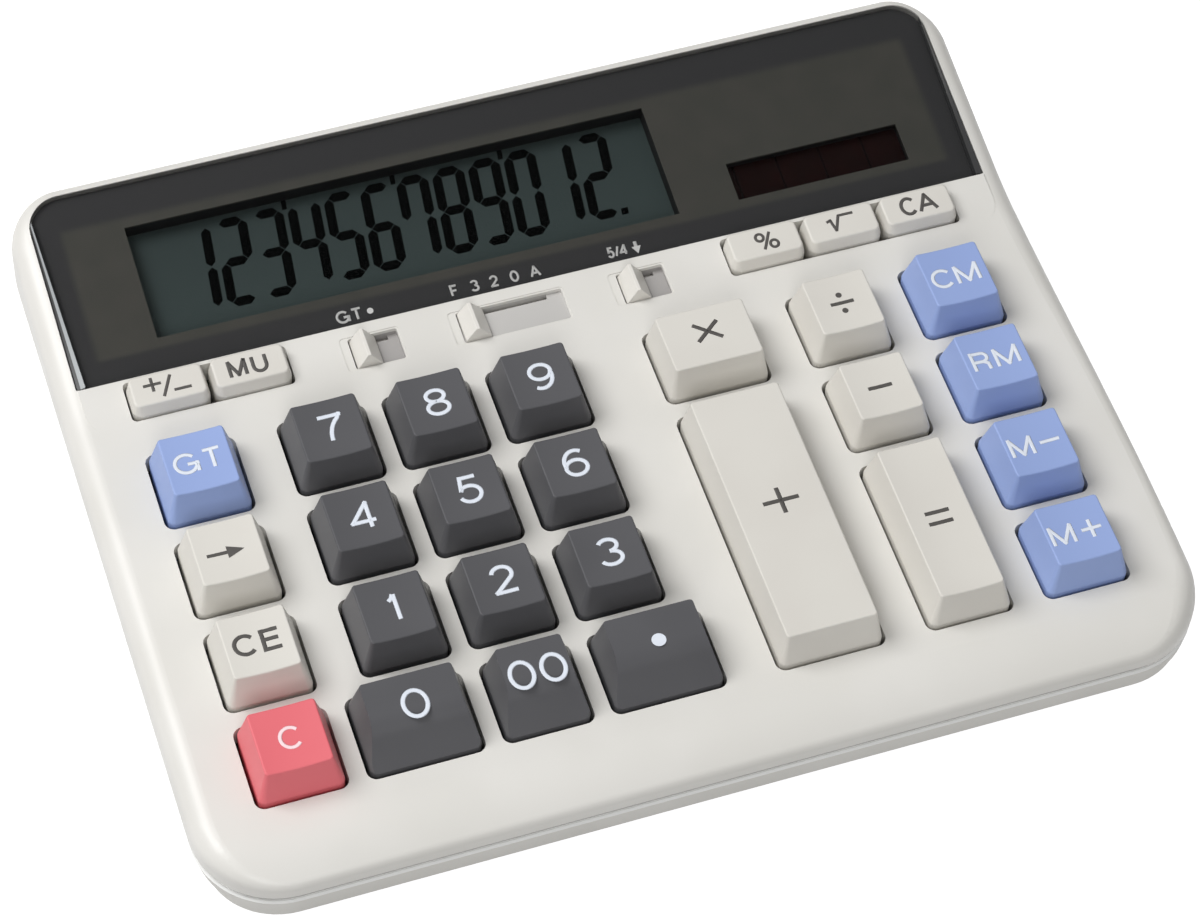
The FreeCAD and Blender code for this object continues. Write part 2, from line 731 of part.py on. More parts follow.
def switch_pocket(switch):
    """Pocket with a shallow rim, wider at the left, and the slot along its back wall."""
    left, right = switch.left, switch.left + switch.length
    front, back = POCKET_START, POCKET_START + POCKET_LENGTH
    pocket = rounded_box(left, right, front, back, -switch.depth, BEYOND, POCKET_RADIUS)
    rim = rounded_box(left - POCKET_RIM_LEFT, right + POCKET_RIM, front - POCKET_RIM, back + POCKET_RIM,
                      -POCKET_RIM_DEPTH, BEYOND, POCKET_RADIUS + POCKET_RIM)
    rim.rotate(V(0, front - POCKET_RIM, -POCKET_RIM_DEPTH), V(1, 0, 0), SMALL_TOP_TILT)
    half = LEG_LENGTH / 2 + SLOT_GAP
    slot = box(switch.leg_x - half, switch.leg_x + switch.travel + half,
               switch.neck_back - NECK_WIDTH - SLOT_GAP, switch.neck_back + SLOT_GAP, -BEYOND, BEYOND)
    return [rim, pocket, slot]


def panel_openings():
    """Recess for the window, and the hole in its floor for the black moulding."""
    half = PLATFORM_WIDTH / 2 + WINDOW_GAP
    high = BEYOND
    corner = WINDOW_CORNER + WINDOW_GAP
    sharp = WINDOW_FRONT_CORNER + WINDOW_GAP
    wire = rounded_wire(-half, half, -WINDOW_GAP, WINDOW_LENGTH + WINDOW_GAP, RECESS_FLOOR,
                        (sharp, sharp, corner, corner))
    recess = Part.Face(wire).extrude(V(0, 0, high))
    hole = box(BEZEL_LEFT - BEZEL_GAP, BEZEL_RIGHT + BEZEL_GAP, BEZEL_START - BEZEL_GAP,
               BEZEL_END + BEZEL_GAP, -PANEL_FLOOR - WALL, high)
    return [on_panel(recess), on_panel(hole)]


class LevelWire:
    """Levelling wire of a long key: side is the side of the key that its pivot is on."""

    def __init__(self, key, side):
        self.key = key
        self.side = side
        self.pivot_x = key.x + side * (key.hole_width / 2 + WIRE_PIVOT_OUT)
        self.half = key.length / 2 - WIRE_END_MARGIN
        self.angle = math.asin(KEY_TRAVEL / 2 / WIRE_ARM)
        self.bar_x = self.pivot_x - side * WIRE_ARM * math.cos(self.angle)
        self.bar_z = -WIRE_PIVOT_DROP + KEY_TRAVEL / 2


KEY_BY_NAME = {key.name: key for key in KEYS}
LEVEL_WIRES = {
    "plus": LevelWire(KEY_BY_NAME["key_plus"], 1),
    "equals": LevelWire(KEY_BY_NAME["key_equals"], -1),
}


def wire_lugs(wire):
    """Two lugs under the deck with a hole for each end of a levelling wire."""
    lugs = []
    for way in (1, -1):
        outer = wire.key.y + way * (wire.half + WIRE_BEND + LUG_THICK)
        inner = outer - way * LUG_THICK
        front, back = min(inner, outer), max(inner, outer)
        lug = box(wire.pivot_x - LUG_HALF_WIDTH, wire.pivot_x + LUG_HALF_WIDTH, front, back,
                  -WIRE_PIVOT_DROP - LUG_BELOW, -DECK_THICK)
        hole = Part.makeCylinder(WIRE_RADIUS + WIRE_RUNNING_GAP, LUG_THICK,
                                 V(wire.pivot_x, front, -WIRE_PIVOT_DROP), V(0, 1, 0))
        lugs.append(lug.cut(hole))
    return lugs


def top_bosses():
    """Screw bosses under the deck, for the board and for the bottom case."""
    bosses = [rod(x, y, BOARD_TOP, -DECK_THICK, BOARD_BOSS) for x, y in BOARD_SCREWS]
    for x, y in CASE_SCREWS:
        bosses.append(under_surface(rod(x, y, MATE_Z, BEYOND, CASE_BOSS)))
    return bosses


def top_pilots():
    pilots = []
    for x, y in BOARD_SCREWS:
        top = BOARD_BOTTOM + BOARD_THICK + BOARD_SCREW_REACH + PILOT_SPARE
        pilots.append(rod(x, y, BOARD_TOP - WALL, top, BOARD_SCREW + THREAD_GAP))
    for x, y in CASE_SCREWS:
        top = MATE_Z - CASE_SCREW_FLOOR + CASE_SCREW_LENGTH + PILOT_SPARE
        pilots.append(rod(x, y, MATE_Z - WALL, top, CASE_SCREW + THREAD_GAP))
    return pilots


def top_case():
    shell = round_upper_edge(plan_block(-PARTING_DROP, BEYOND).common(top_surface_block(PLATFORM_SHIFT)))
    shell = shell.fuse(platform_block()).removeSplitter()
    shell = shell.cut(top_cavity())
    collars = [key_hole(key, -COLLAR_DROP, -DECK_THICK, COLLAR_THICK) for key in MAIN_KEYS]
    collars += [small_hole(left, names, -COLLAR_DROP, -DECK_THICK / 2, COLLAR_THICK)
                for left, names in SMALL_GROUPS]
    lugs = [lug for wire in LEVEL_WIRES.values() for lug in wire_lugs(wire)]
    shell = join([shell] + collars + lugs + top_bosses())
    holes = [key_hole(key, -BEYOND, BEYOND) for key in MAIN_KEYS]
    holes += [small_hole(left, names, -BEYOND, BEYOND) for left, names in SMALL_GROUPS]
    for switch in SWITCHES:
        holes += switch_pocket(switch)
    return cut_all(shell, holes + panel_openings() + top_pilots())


def bottom_outer(inset):
    """Solid inside the bottom case's outer skin, drawn in by inset, down past the floor."""
    lip_top = -PARTING_DROP - SEAM_GROOVE
    lip_bottom = -PARTING_DROP - LIP_HEIGHT
    deep = -(DECK_LIFT + CASE_DEPTH * math.sin(SLOPE)) / math.cos(SLOPE)
    slopes = [math.tan(math.radians(angle)) for angle in (SIDE_TAPER, FRONT_TAPER, REAR_TAPER)]

    def ring(z, step):
        drop = lip_top - z
        side, front, rear = [inset + step + drop * slope for slope in slopes]
        return outline(z, side, front, rear)

    edge = lip_top - LIP_CHAMFER
    lip = Part.makeLoft([ring(lip_top, LIP_CHAMFER), ring(edge, 0), ring(lip_bottom, 0)], True, True)
    skin = Part.makeLoft([ring(lip_bottom, LIP_STEP), ring(deep, LIP_STEP)], True, True)
    collar = plan_block(lip_top, -PARTING_DROP, inset or SEAM_GROOVE_DEPTH)
    return [lip, skin, collar]


def above_table(shape, height):
    """Cuts a shape off level with the table at a height."""
    keep = from_table(box(-CASE_WIDTH, CASE_WIDTH, -BEYOND, CASE_DEPTH + BEYOND, height, CASE_DEPTH))
    return shape.common(keep)


def bottom_shell():
    outer = above_table(join(bottom_outer(0)), FOOT_SHOW)
    floor_edges = []
    for edge in outer.Edges:
        middle = TABLE.multVec(edge.valueAt((edge.FirstParameter + edge.LastParameter) / 2))
        if abs(middle.z - FOOT_SHOW) < 1e-3:
            floor_edges.append(edge)
    outer = outer.makeFillet(BOTTOM_EDGE_RADIUS, floor_edges)
    inner = above_table(join(bottom_outer(WALL)), FLOOR_TOP)
    shell = outer.cut(inner)
    ledge = plan_block(-PARTING_DROP - TONGUE_LEDGE, -PARTING_DROP, WALL / 2)
    tongue = plan_block(-PARTING_DROP - TONGUE_LEDGE, -PARTING_DROP + TONGUE_HEIGHT, WALL + TONGUE_GAP)
    bore = plan_block(-PARTING_DROP - BEYOND, BEYOND, WALL + TONGUE_GAP + TONGUE_THICK)
    ring = ledge.fuse(tongue).cut(bore).common(Part.makeCompound([join(bottom_outer(0)), tongue]))
    return join([shell, ring])


def bottom_posts():
    """Posts that the case screws come up through."""
    posts = [rod(x, y, -BEYOND, MATE_Z, CASE_POST) for x, y in CASE_SCREWS]
    return [post.common(above_table(join(bottom_outer(WALL / 2)), FOOT_SHOW + WALL / 2)) for post in posts]


def bottom_screw_holes():
    holes = []
    for x, y in CASE_SCREWS:
        seat = MATE_Z - CASE_SCREW_FLOOR
        holes.append(rod(x, y, -BEYOND, MATE_Z + 1, CASE_SCREW + CASE_HOLE_GAP))
        holes.append(rod(x, y, -BEYOND, seat, CASE_HEAD + CASE_HEAD_GAP))
    return holes


DOOR_TOP = FOOT_SHOW + DOOR_THICK
HOLDER_TOP = DOOR_TOP + BUTTON_GAP + BUTTON_HEIGHT + CONTACT_SPACE
HOLDER_RADIUS = BUTTON_RADIUS + BUTTON_GAP
DOOR_SCREW_Y = CELL_Y + DOOR_BACK - DOOR_SCREW_EDGE
DOOR_SCREW_TOP = FOOT_SHOW + DOOR_HEAD_SINK + DOOR_SCREW_REACH
TOP_TAB_X = CELL_X - HOLDER_RADIUS + DOOR_GAP + CONTACT_THICK
SIDE_TAB_X = CELL_X + HOLDER_RADIUS
TAB_TOP = HOLDER_TOP + HOLDER_ROOF + TAB_LENGTH


def door_block(z0, z1, grow):
    return rounded_box(CELL_X - DOOR_HALF_WIDTH - grow, CELL_X + DOOR_HALF_WIDTH + grow,
                       CELL_Y - DOOR_FRONT - grow, CELL_Y + DOOR_BACK + grow, z0, z1, DOOR_CORNER + grow)


def door_tongue(grow):
    half = DOOR_TONGUE_WIDTH / 2 + grow
    front = CELL_Y - DOOR_FRONT - DOOR_TONGUE_REACH - grow
    return box(CELL_X - half, CELL_X + half, front, CELL_Y - DOOR_FRONT + DOOR_CORNER,
               DOOR_TOP - DOOR_TONGUE_THICK - grow, DOOR_TOP + grow / 3)


def cell_holder():
    """Pad round the door and the cup that holds the button cell, in the table frame."""
    pad = door_block(DOOR_TOP, DOOR_TOP + DOOR_PAD, HOLDER_WALL)
    half = HOLDER_RADIUS + HOLDER_WALL
    cup = rounded_box(CELL_X - half, CELL_X + half, CELL_Y - half, CELL_Y + half, DOOR_TOP,
                      HOLDER_TOP + HOLDER_ROOF, DOOR_CORNER)
    post = rod(CELL_X, DOOR_SCREW_Y, DOOR_TOP, DOOR_SCREW_TOP + WALL, DOOR_POST)
    return [pad, cup, post]


def cell_cuts():
    """Door recess, cell bore, and slots for the two contacts, in the table frame."""
    recess = door_block(-BEYOND, DOOR_TOP, DOOR_GAP)
    tongue = door_tongue(DOOR_GAP)
    bore = rod(CELL_X, CELL_Y, -BEYOND, HOLDER_TOP, HOLDER_RADIUS)
    half = CONTACT_WIDTH / 2 + DOOR_GAP
    across = CONTACT_THICK / 2 + DOOR_GAP
    side_slot = box(SIDE_TAB_X - across, SIDE_TAB_X + across, CELL_Y - half, CELL_Y + half,
                    DOOR_TOP, TAB_TOP)
    top_slot = box(TOP_TAB_X - across, TOP_TAB_X + across, CELL_Y - half, CELL_Y + half,
                   HOLDER_TOP - HOLDER_ROOF, TAB_TOP)
    pilot = rod(CELL_X, DOOR_SCREW_Y, DOOR_TOP - 1, DOOR_SCREW_TOP + PILOT_SPARE, DOOR_SCREW + THREAD_GAP)
    return [recess, tongue, bore, side_slot, top_slot, pilot]


def bottom_case():
    shell = join([bottom_shell()] + bottom_posts() + [from_table(piece) for piece in cell_holder()])
    feet = [from_table(rod(x, y, -BEYOND, FOOT_SHOW + FOOT_SINK, FOOT_RADIUS + FOOT_GAP)) for x, y in FEET]
    return cut_all(shell, bottom_screw_holes() + feet + [from_table(tool) for tool in cell_cuts()])


# Display

def window_sheet(z0, z1):
    """Sheet with the outline of the window, in the panel frame."""
    half = PLATFORM_WIDTH / 2
    wire = rounded_wire(-half, half, 0, WINDOW_LENGTH, z0,
                        (WINDOW_FRONT_CORNER, WINDOW_FRONT_CORNER, WINDOW_CORNER, WINDOW_CORNER))
    return Part.Face(wire).extrude(V(0, 0, z1 - z0))


def display_window():
    """Clear sheet whose side edges are bevelled, more at the front than at the back."""
    sheet = window_sheet(WINDOW_PROUD - WINDOW_THICK, WINDOW_PROUD)
    half = PLATFORM_WIDTH / 2
    bevels = []
    for side in (-1, 1):
        ends = []
        for y, width in ((-1, WINDOW_BEVEL_FRONT), (WINDOW_LENGTH + 1, WINDOW_BEVEL_BACK)):
            low = V(side * half, y, -PLATFORM_RISE)
            high = V(side * (half - width), y, WINDOW_PROUD)
            away = V(side * (half + 1), y, WINDOW_PROUD + 1)
            ends.append(Part.makePolygon([low, high, high + V(0, 0, 1), away, low + V(side, 0, 0), low]))
        bevels.append(Part.makeLoft(ends, True, True))
    return on_panel(cut_all(sheet, bevels))


def screen_opening(z0, z1, grow=0.0):
    half = SCREEN_WIDTH / 2 + grow
    return box(SCREEN_CENTRE - half, SCREEN_CENTRE + half, SCREEN_START - grow,
               SCREEN_START + SCREEN_LENGTH + grow, z0, z1)


def solar_opening(z0, z1, grow=0.0):
    half = SOLAR_WIDTH / 2 + grow
    return box(SOLAR_CENTRE - half, SOLAR_CENTRE + half, SOLAR_START - grow,
               SOLAR_START + SOLAR_LENGTH + grow, z0, z1)


def display_mask():
    sheet = window_sheet(MASK_BOTTOM, MASK_TOP)
    return on_panel(sheet.cut(screen_opening(-BEYOND, BEYOND)).cut(solar_opening(-BEYOND, BEYOND)))


def display_bezel():
    front = box(BEZEL_LEFT, BEZEL_RIGHT, BEZEL_START, BEZEL_END, FLANGE_BOTTOM, BEZEL_TOP)
    flange = box(BEZEL_LEFT - BEZEL_FLANGE, BEZEL_RIGHT + BEZEL_FLANGE, BEZEL_START - BEZEL_FLANGE,
                 BEZEL_END + BEZEL_FLANGE, FLANGE_BOTTOM, FLANGE_TOP)
    rim = screen_opening(FLANGE_BOTTOM - RIM_DEPTH, FLANGE_BOTTOM, GLASS_MARGIN + GLASS_GAP + RIM_THICK)
    rim = rim.cut(screen_opening(-BEYOND, FLANGE_BOTTOM, GLASS_MARGIN + GLASS_GAP))
    open_side = box(SCREEN_CENTRE - RIBBON_WIDTH / 2 - WALL, SCREEN_CENTRE + RIBBON_WIDTH / 2 + WALL,
                    -BEYOND, SCREEN_START, -BEYOND, FLANGE_BOTTOM)
    body = join([front, flange, rim]).cut(open_side)
    wells = [screen_opening(-BEYOND, BEYOND, GLASS_GAP), solar_opening(-BEYOND, BEYOND, GLASS_GAP),
             solar_opening(-BEYOND, -CELL_DEPTH, CELL_MARGIN + GLASS_GAP)]
    return on_panel(cut_all(body, wells))


def lcd_glass():
    """Two bonded glass plates; the front one leaves a ledge for the ribbon."""
    top = FLANGE_BOTTOM - GLASS_GAP
    front = screen_opening(top - GLASS_THICK, top, GLASS_MARGIN)
    half = SCREEN_WIDTH / 2 + GLASS_MARGIN
    back = box(SCREEN_CENTRE - half, SCREEN_CENTRE + half, SCREEN_START - GLASS_MARGIN + GLASS_LEDGE,
               SCREEN_START + SCREEN_LENGTH + GLASS_MARGIN, top - 2 * GLASS_THICK, top - GLASS_THICK)
    return on_panel(join([front, back]))


def solar_cell():
    top = -CELL_DEPTH - GLASS_GAP
    return on_panel(solar_opening(top - CELL_THICK, top, CELL_MARGIN))


def lcd_ribbon():
    """Flexible connection from the ledge of the display glass down to the board."""
    ledge_back = SCREEN_START - GLASS_MARGIN + GLASS_LEDGE - GLASS_GAP
    level = FLANGE_BOTTOM - GLASS_GAP - GLASS_THICK - RIBBON_THICK
    start = panel_point(ledge_back, level)
    end = panel_point(SCREEN_START - GLASS_MARGIN - RIBBON_BEND, level)
    low = BOARD_TOP + RIBBON_THICK
    foot = MAT_END + GLASS_GAP
    points = [start, end, (end[0] - RIBBON_BEND, low), (foot, low)]
    half = RIBBON_WIDTH / 2
    return bent_strip(points, RIBBON_THICK, RIBBON_BEND, SCREEN_CENTRE - half, SCREEN_CENTRE + half)


# Keys

def cap_block(key, inset, roof):
    """Tapered block of a keycap, drawn in by inset, from the skirt's bottom up to the roof."""
    half_x, half_y = key.width / 2 - inset, key.length / 2 - inset
    bottom = max(key.skirt_radius - inset, 0.3)
    top = max(key.top_radius - inset / 2, 0.3)
    front = min(key.front, KEY_FRONT_INSET)
    share = (roof - KEY_SHOULDER) / (key.height - KEY_SHOULDER)
    side_in, front_in, back_in = key.side * share, front * share, key.back * share
    low = rounded_wire(key.x - half_x, key.x + half_x, key.y - half_y, key.y + half_y, SKIRT_BOTTOM,
                       (bottom,) * 4)
    middle = rounded_wire(key.x - half_x, key.x + half_x, key.y - half_y, key.y + half_y, KEY_SHOULDER,
                          (bottom,) * 4)
    high = rounded_wire(key.x - half_x + side_in, key.x + half_x - side_in, key.y - half_y + front_in,
                        key.y + half_y - back_in, roof, (top,) * 4)
    high.rotate(V(key.x, key.y, roof), V(1, 0, 0), key.tilt)
    return Part.makeLoft([low, middle, high], True, True)


def sloped_front(key, inset):
    """What stays of a bottom-row cap under its long front slope, which rounds into the top."""
    front = key.y - key.length / 2
    crest = front + key.front
    top = key.height - inset
    low = V(0, front + inset, KEY_SHOULDER)
    corner = V(0, crest, top)
    back = V(0, key.y + key.length, top)
    path = bent_path([low, corner, back], SLOPED_FRONT_RADIUS)
    under = [V(0, back.y, SKIRT_BOTTOM - 1), V(0, front - 1, SKIRT_BOTTOM - 1),
             V(0, front - 1, KEY_SHOULDER)]
    rest = Part.makePolygon([back] + under + [low])
    face = Part.Face(Part.Wire(path.Edges + rest.Edges))
    face.translate(V(key.x - key.width, 0, 0))
    return face.extrude(V(2 * key.width, 0, 0))


def key_hooks(key):
    """Hooks that stop the key under the collar: at the sides, or front and back on a small key."""
    z0, z1 = SKIRT_BOTTOM, SKIRT_BOTTOM + HOOK_THICK
    half_x, half_y, long = key.width / 2, key.length / 2, HOOK_LENGTH / 2
    if key.small:
        half_y += SMALL_HOOK_REACH
        return [box(key.x - long, key.x + long, key.y - half_y, key.y + half_y, z0, z1)]
    half_x += HOOK_REACH
    return [box(key.x - half_x, key.x + half_x, key.y - long, key.y + long, z0, z1)]


def wire_hangers(wire):
    """Ribs inside a long cap with a slot each for the bar of its levelling wire."""
    hangers = []
    for way in (1, -1):
        middle = wire.key.y + way * (wire.half - HANGER_MARGIN)
        front, back = middle - HANGER_THICK / 2, middle + HANGER_THICK / 2
        rib = box(wire.bar_x - HANGER_HALF_WIDTH, wire.bar_x + HANGER_HALF_WIDTH, front, back,
                  SKIRT_BOTTOM, wire.key.height - KEY_ROOF)
        rib = rib.common(cap_block(wire.key, wire.key.wall / 2, wire.key.height - KEY_ROOF / 2))
        reach = WIRE_RADIUS + WIRE_SLOT_SLACK
        high = WIRE_RADIUS + WIRE_SLOT_GAP
        slot = box(wire.bar_x - reach, wire.bar_x + reach, front, back, wire.bar_z - high, wire.bar_z + high)
        hangers.append(rib.cut(slot))
    return hangers


def wire_notches(wire):
    """Notches in the cap's side wall that the arms of the levelling wire pass through."""
    notches = []
    grow = WIRE_RADIUS + WIRE_NOTCH_GAP
    top = -WIRE_PIVOT_DROP + KEY_TRAVEL + grow
    inner = wire.key.x
    outer = wire.key.x + wire.side * wire.key.width
    for way in (1, -1):
        y = wire.key.y + way * wire.half
        notches.append(box(min(inner, outer), max(inner, outer), y - grow, y + grow, SKIRT_BOTTOM - 1, top))
    return notches


def finger_dish(key):
    """Long round bar that hollows the top of a cap a little from side to side."""
    half = key.width / 2 - key.side
    radius = (half ** 2 + KEY_DISH ** 2) / (2 * KEY_DISH)
    start = V(key.x, key.y - key.length, key.height - KEY_DISH + radius)
    return Part.makeCylinder(radius, 2 * key.length, start, V(0, 1, 0))


def keycap(key):
    body = cap_block(key, 0, key.height)
    if key.front > KEY_FRONT_INSET:
        body = body.common(sloped_front(key, 0))
    else:
        if key.dished:
            body = body.cut(finger_dish(key))
        top = [e for e in body.Edges if e.BoundBox.ZMin > (KEY_SHOULDER + key.height) / 2]
        body = body.makeFillet(key.top_edge, top)
    roof = min(KEY_ROOF, key.height / 2)
    hollow = cap_block(key, key.wall, key.height - roof)
    if key.front > KEY_FRONT_INSET:
        hollow = hollow.common(sloped_front(key, roof))
    body = body.cut(hollow)
    hooks = [hook.cut(hollow) for hook in key_hooks(key)]
    stem = rod(key.x, key.y, STEM_BOTTOM, key.height - roof, key.stem)
    pieces = [body, stem] + hooks
    for wire in LEVEL_WIRES.values():
        if wire.key is key:
            pieces += wire_hangers(wire)
    cap = join(pieces)
    for wire in LEVEL_WIRES.values():
        if wire.key is key:
            cap = cut_all(cap, wire_notches(wire))
    return cap


def levelling_wire(wire):
    """Bar inside the cap, two arms out under the collar, and two pins in the lugs."""
    pin_end = wire.half + WIRE_BEND + WIRE_PIN
    points = []
    for way in (1, -1):
        pivot = V(wire.pivot_x, wire.key.y + way * pin_end, -WIRE_PIVOT_DROP)
        knee = V(wire.pivot_x, wire.key.y + way * wire.half, -WIRE_PIVOT_DROP)
        elbow = V(wire.bar_x, wire.key.y + way * wire.half, wire.bar_z)
        side = [pivot, knee, elbow]
        points += side if way == 1 else side[::-1]
    return wire_rod(points, WIRE_RADIUS, WIRE_BEND)


# Switches

def knob(switch):
    """Ridged knob with its neck, and the plate under the deck that holds it and closes the slot beside it."""
    x, y = switch.knob_x, switch.y
    floor = -switch.depth + KNOB_GAP
    half = KNOB_LENGTH / 2
    crest = KNOB_CREST / 2
    low = floor + KNOB_BASE
    top = x - KNOB_LEAN
    points = [V(x - half, 0, floor), V(x + half, 0, floor), V(x + half, 0, low), V(top + crest, 0, KNOB_TOP),
              V(top - crest, 0, KNOB_TOP), V(x - half, 0, low)]
    ridge = Part.Face(Part.makePolygon(points + points[:1])).extrude(V(0, KNOB_WIDTH, 0))
    ridge.translate(V(0, y - KNOB_WIDTH / 2, 0))
    tops = [e for e in ridge.Edges if e.BoundBox.ZMin > KNOB_TOP - 1e-3 or abs(e.BoundBox.ZMin - low) < 1e-3]
    ridge = ridge.makeFillet(KNOB_CREST / 4, tops)
    x = switch.leg_x
    plate_top = -DECK_THICK - KNOB_GAP
    neck = box(x - LEG_LENGTH / 2, x + LEG_LENGTH / 2, switch.neck_back - NECK_WIDTH, switch.neck_back,
               plate_top, floor)
    plate = box(x - PLATE_BEHIND, x + switch.plate, y - PLATE_WIDTH / 2, y + PLATE_WIDTH / 2,
                plate_top - PLATE_THICK, plate_top)
    leg = box(x - LEG_LENGTH / 2, x + LEG_LENGTH / 2, y - LEG_WIDTH / 2, y + LEG_WIDTH / 2,
              BOARD_TOP + WIPER_DROP + WIPER_THICK, plate_top)
    return join([ridge, neck, plate, leg])


def wiper(switch):
    """Brass wiper under the knob's leg, with two bumps that run on the board."""
    x, y = switch.leg_x, switch.y
    top = BOARD_TOP + WIPER_DROP + WIPER_THICK
    half = WIPER_HALF_LENGTH
    plate = box(x - half, x + half, y - WIPER_HALF_WIDTH, y + WIPER_HALF_WIDTH, top - WIPER_THICK, top)
    pieces = [plate]
    for way in (1, -1):
        centre = V(x + way * (half - WIPER_BUMP), y - WIPER_HALF_WIDTH, BOARD_TOP + KNOB_GAP + WIPER_BUMP)
        bump = Part.makeCylinder(WIPER_BUMP, 2 * WIPER_HALF_WIDTH, centre, V(0, 1, 0))
        web = box(centre.x - WIPER_THICK, centre.x + WIPER_THICK, y - WIPER_HALF_WIDTH, y + WIPER_HALF_WIDTH,
                  centre.z, top - WIPER_THICK)
        pieces += [bump, web]
    return join(pieces)


# Mat, board and what is on them

def key_mat():
    """Rubber sheet with one hollow dome and one contact pill under each key."""
    sheet = rounded_box(-MAT_HALF_WIDTH, MAT_HALF_WIDTH, MAT_START, MAT_END, BOARD_TOP, MAT_TOP, HOLE_RADIUS)
    holes = [rod(x, y, -BEYOND, BEYOND, BOARD_BOSS + MAT_HOLE_GAP) for x, y in BOARD_SCREWS]
    for switch in SWITCHES:
        holes.append(box(switch.left - SWITCH_CLEARANCE, switch.left + switch.length + SWITCH_CLEARANCE,
                         POCKET_START - MAT_HOLE_GAP, MAT_END + 1, -BEYOND, BEYOND))
    sheet = cut_all(sheet, holes)
    domes = []
    hollows = []
    pills = []
    for key in KEYS:
        base = V(key.x, key.y, MAT_TOP)
        domes.append(Part.makeCone(DOME_BASE, DOME_TOP, DOME_HEIGHT, base))
        inner_height = DOME_HEIGHT + MAT_THICK - DOME_ROOF
        hollows.append(Part.makeCone(DOME_BASE - DOME_WALL, DOME_TOP - DOME_WALL, inner_height,
                                     V(key.x, key.y, BOARD_TOP)))
        roof = BOARD_TOP + inner_height
        pills.append(rod(key.x, key.y, roof - PILL_THICK, roof, PILL_RADIUS))
    return join([cut_all(join([sheet] + domes), hollows)] + pills)


def main_board():
    board = rounded_box(-BOARD_HALF_WIDTH, BOARD_HALF_WIDTH, BOARD_START, BOARD_END, BOARD_BOTTOM, BOARD_TOP,
                        BOARD_CORNER)
    hole = BOARD_SCREW + BOARD_HOLE_GAP
    return cut_all(board, [rod(x, y, -BEYOND, BEYOND, hole) for x, y in BOARD_SCREWS])


def controller_chip():
    """Drop of black resin over the chip, under the board."""
    ball = (CHIP_RADIUS ** 2 + CHIP_HEIGHT ** 2) / (2 * CHIP_HEIGHT)
    centre = V(CHIP_X, CHIP_Y, BOARD_BOTTOM - CHIP_HEIGHT + ball)
    return Part.makeSphere(ball, centre).common(rod(CHIP_X, CHIP_Y, BOARD_BOTTOM - CHIP_HEIGHT, BOARD_BOTTOM,
                                                    CHIP_RADIUS + 1))


def capacitors():
    cans = []
    for index in range(2):
        x = CAPACITOR_X + index * CAPACITOR_SPACING
        can = rod(x, CAPACITOR_Y, BOARD_BOTTOM - CAPACITOR_HEIGHT, BOARD_BOTTOM, CAPACITOR_RADIUS)
        rims = [e for e in can.Edges if e.BoundBox.ZMax < BOARD_BOTTOM - CAPACITOR_HEIGHT + 1e-3]
        cans.append(can.makeFillet(FOOT_EDGE, rims))
    return Part.makeCompound(cans)


def screw(x, y, seat, head, head_thick, shank, length):
    """Screw driven upwards: its head sits under seat and its shank goes up from there."""
    top = rod(x, y, seat - head_thick, seat, head)
    slot = head / 3
    cross = [box(x - head / 2, x + head / 2, y - slot / 2, y + slot / 2, seat - head_thick - 1,
                 seat - head_thick / 2),
             box(x - slot / 2, x + slot / 2, y - head / 2, y + head / 2, seat - head_thick - 1,
                 seat - head_thick / 2)]
    return cut_all(join([top, rod(x, y, seat, seat + length, shank)]), cross)


def board_screws():
    length = BOARD_THICK + BOARD_SCREW_REACH
    return Part.makeCompound([screw(x, y, BOARD_BOTTOM, BOARD_HEAD, BOARD_HEAD_THICK, BOARD_SCREW, length)
                              for x, y in BOARD_SCREWS])


def case_screws():
    seat = MATE_Z - CASE_SCREW_FLOOR
    return Part.makeCompound([screw(x, y, seat, CASE_HEAD, CASE_HEAD_THICK, CASE_SCREW, CASE_SCREW_LENGTH)
                              for x, y in CASE_SCREWS])


def rubber_feet():
    feet = []
    for x, y in FEET:
        foot = rod(x, y, 0, FOOT_SHOW + FOOT_SINK, FOOT_RADIUS)
        rims = [e for e in foot.Edges if e.BoundBox.ZMax < 1e-3]
        feet.append(from_table(foot.makeFillet(FOOT_EDGE, rims)))
    return Part.makeCompound(feet)


# Button cell

def battery_door():
    door = join([door_block(FOOT_SHOW, DOOR_TOP, 0), door_tongue(0)])
    holes = [rod(CELL_X, DOOR_SCREW_Y, -BEYOND, BEYOND, DOOR_SCREW + BOARD_HOLE_GAP),
             rod(CELL_X, DOOR_SCREW_Y, -BEYOND, FOOT_SHOW + DOOR_HEAD_SINK, DOOR_HEAD + DOOR_GAP)]
    return from_table(cut_all(door, holes))


def battery_door_screw():
    seat = FOOT_SHOW + DOOR_HEAD_SINK
    return from_table(screw(CELL_X, DOOR_SCREW_Y, seat, DOOR_HEAD, DOOR_HEAD_THICK,
                            DOOR_SCREW, DOOR_SCREW_REACH))


def button_cell():
    base = DOOR_TOP + DOOR_GAP
    can = rod(CELL_X, CELL_Y, base, base + BUTTON_HEIGHT - FOOT_EDGE, BUTTON_RADIUS)
    cap = rod(CELL_X, CELL_Y, base, base + BUTTON_HEIGHT, BUTTON_RADIUS - 2 * FOOT_EDGE)
    return from_table(join([can, cap]))


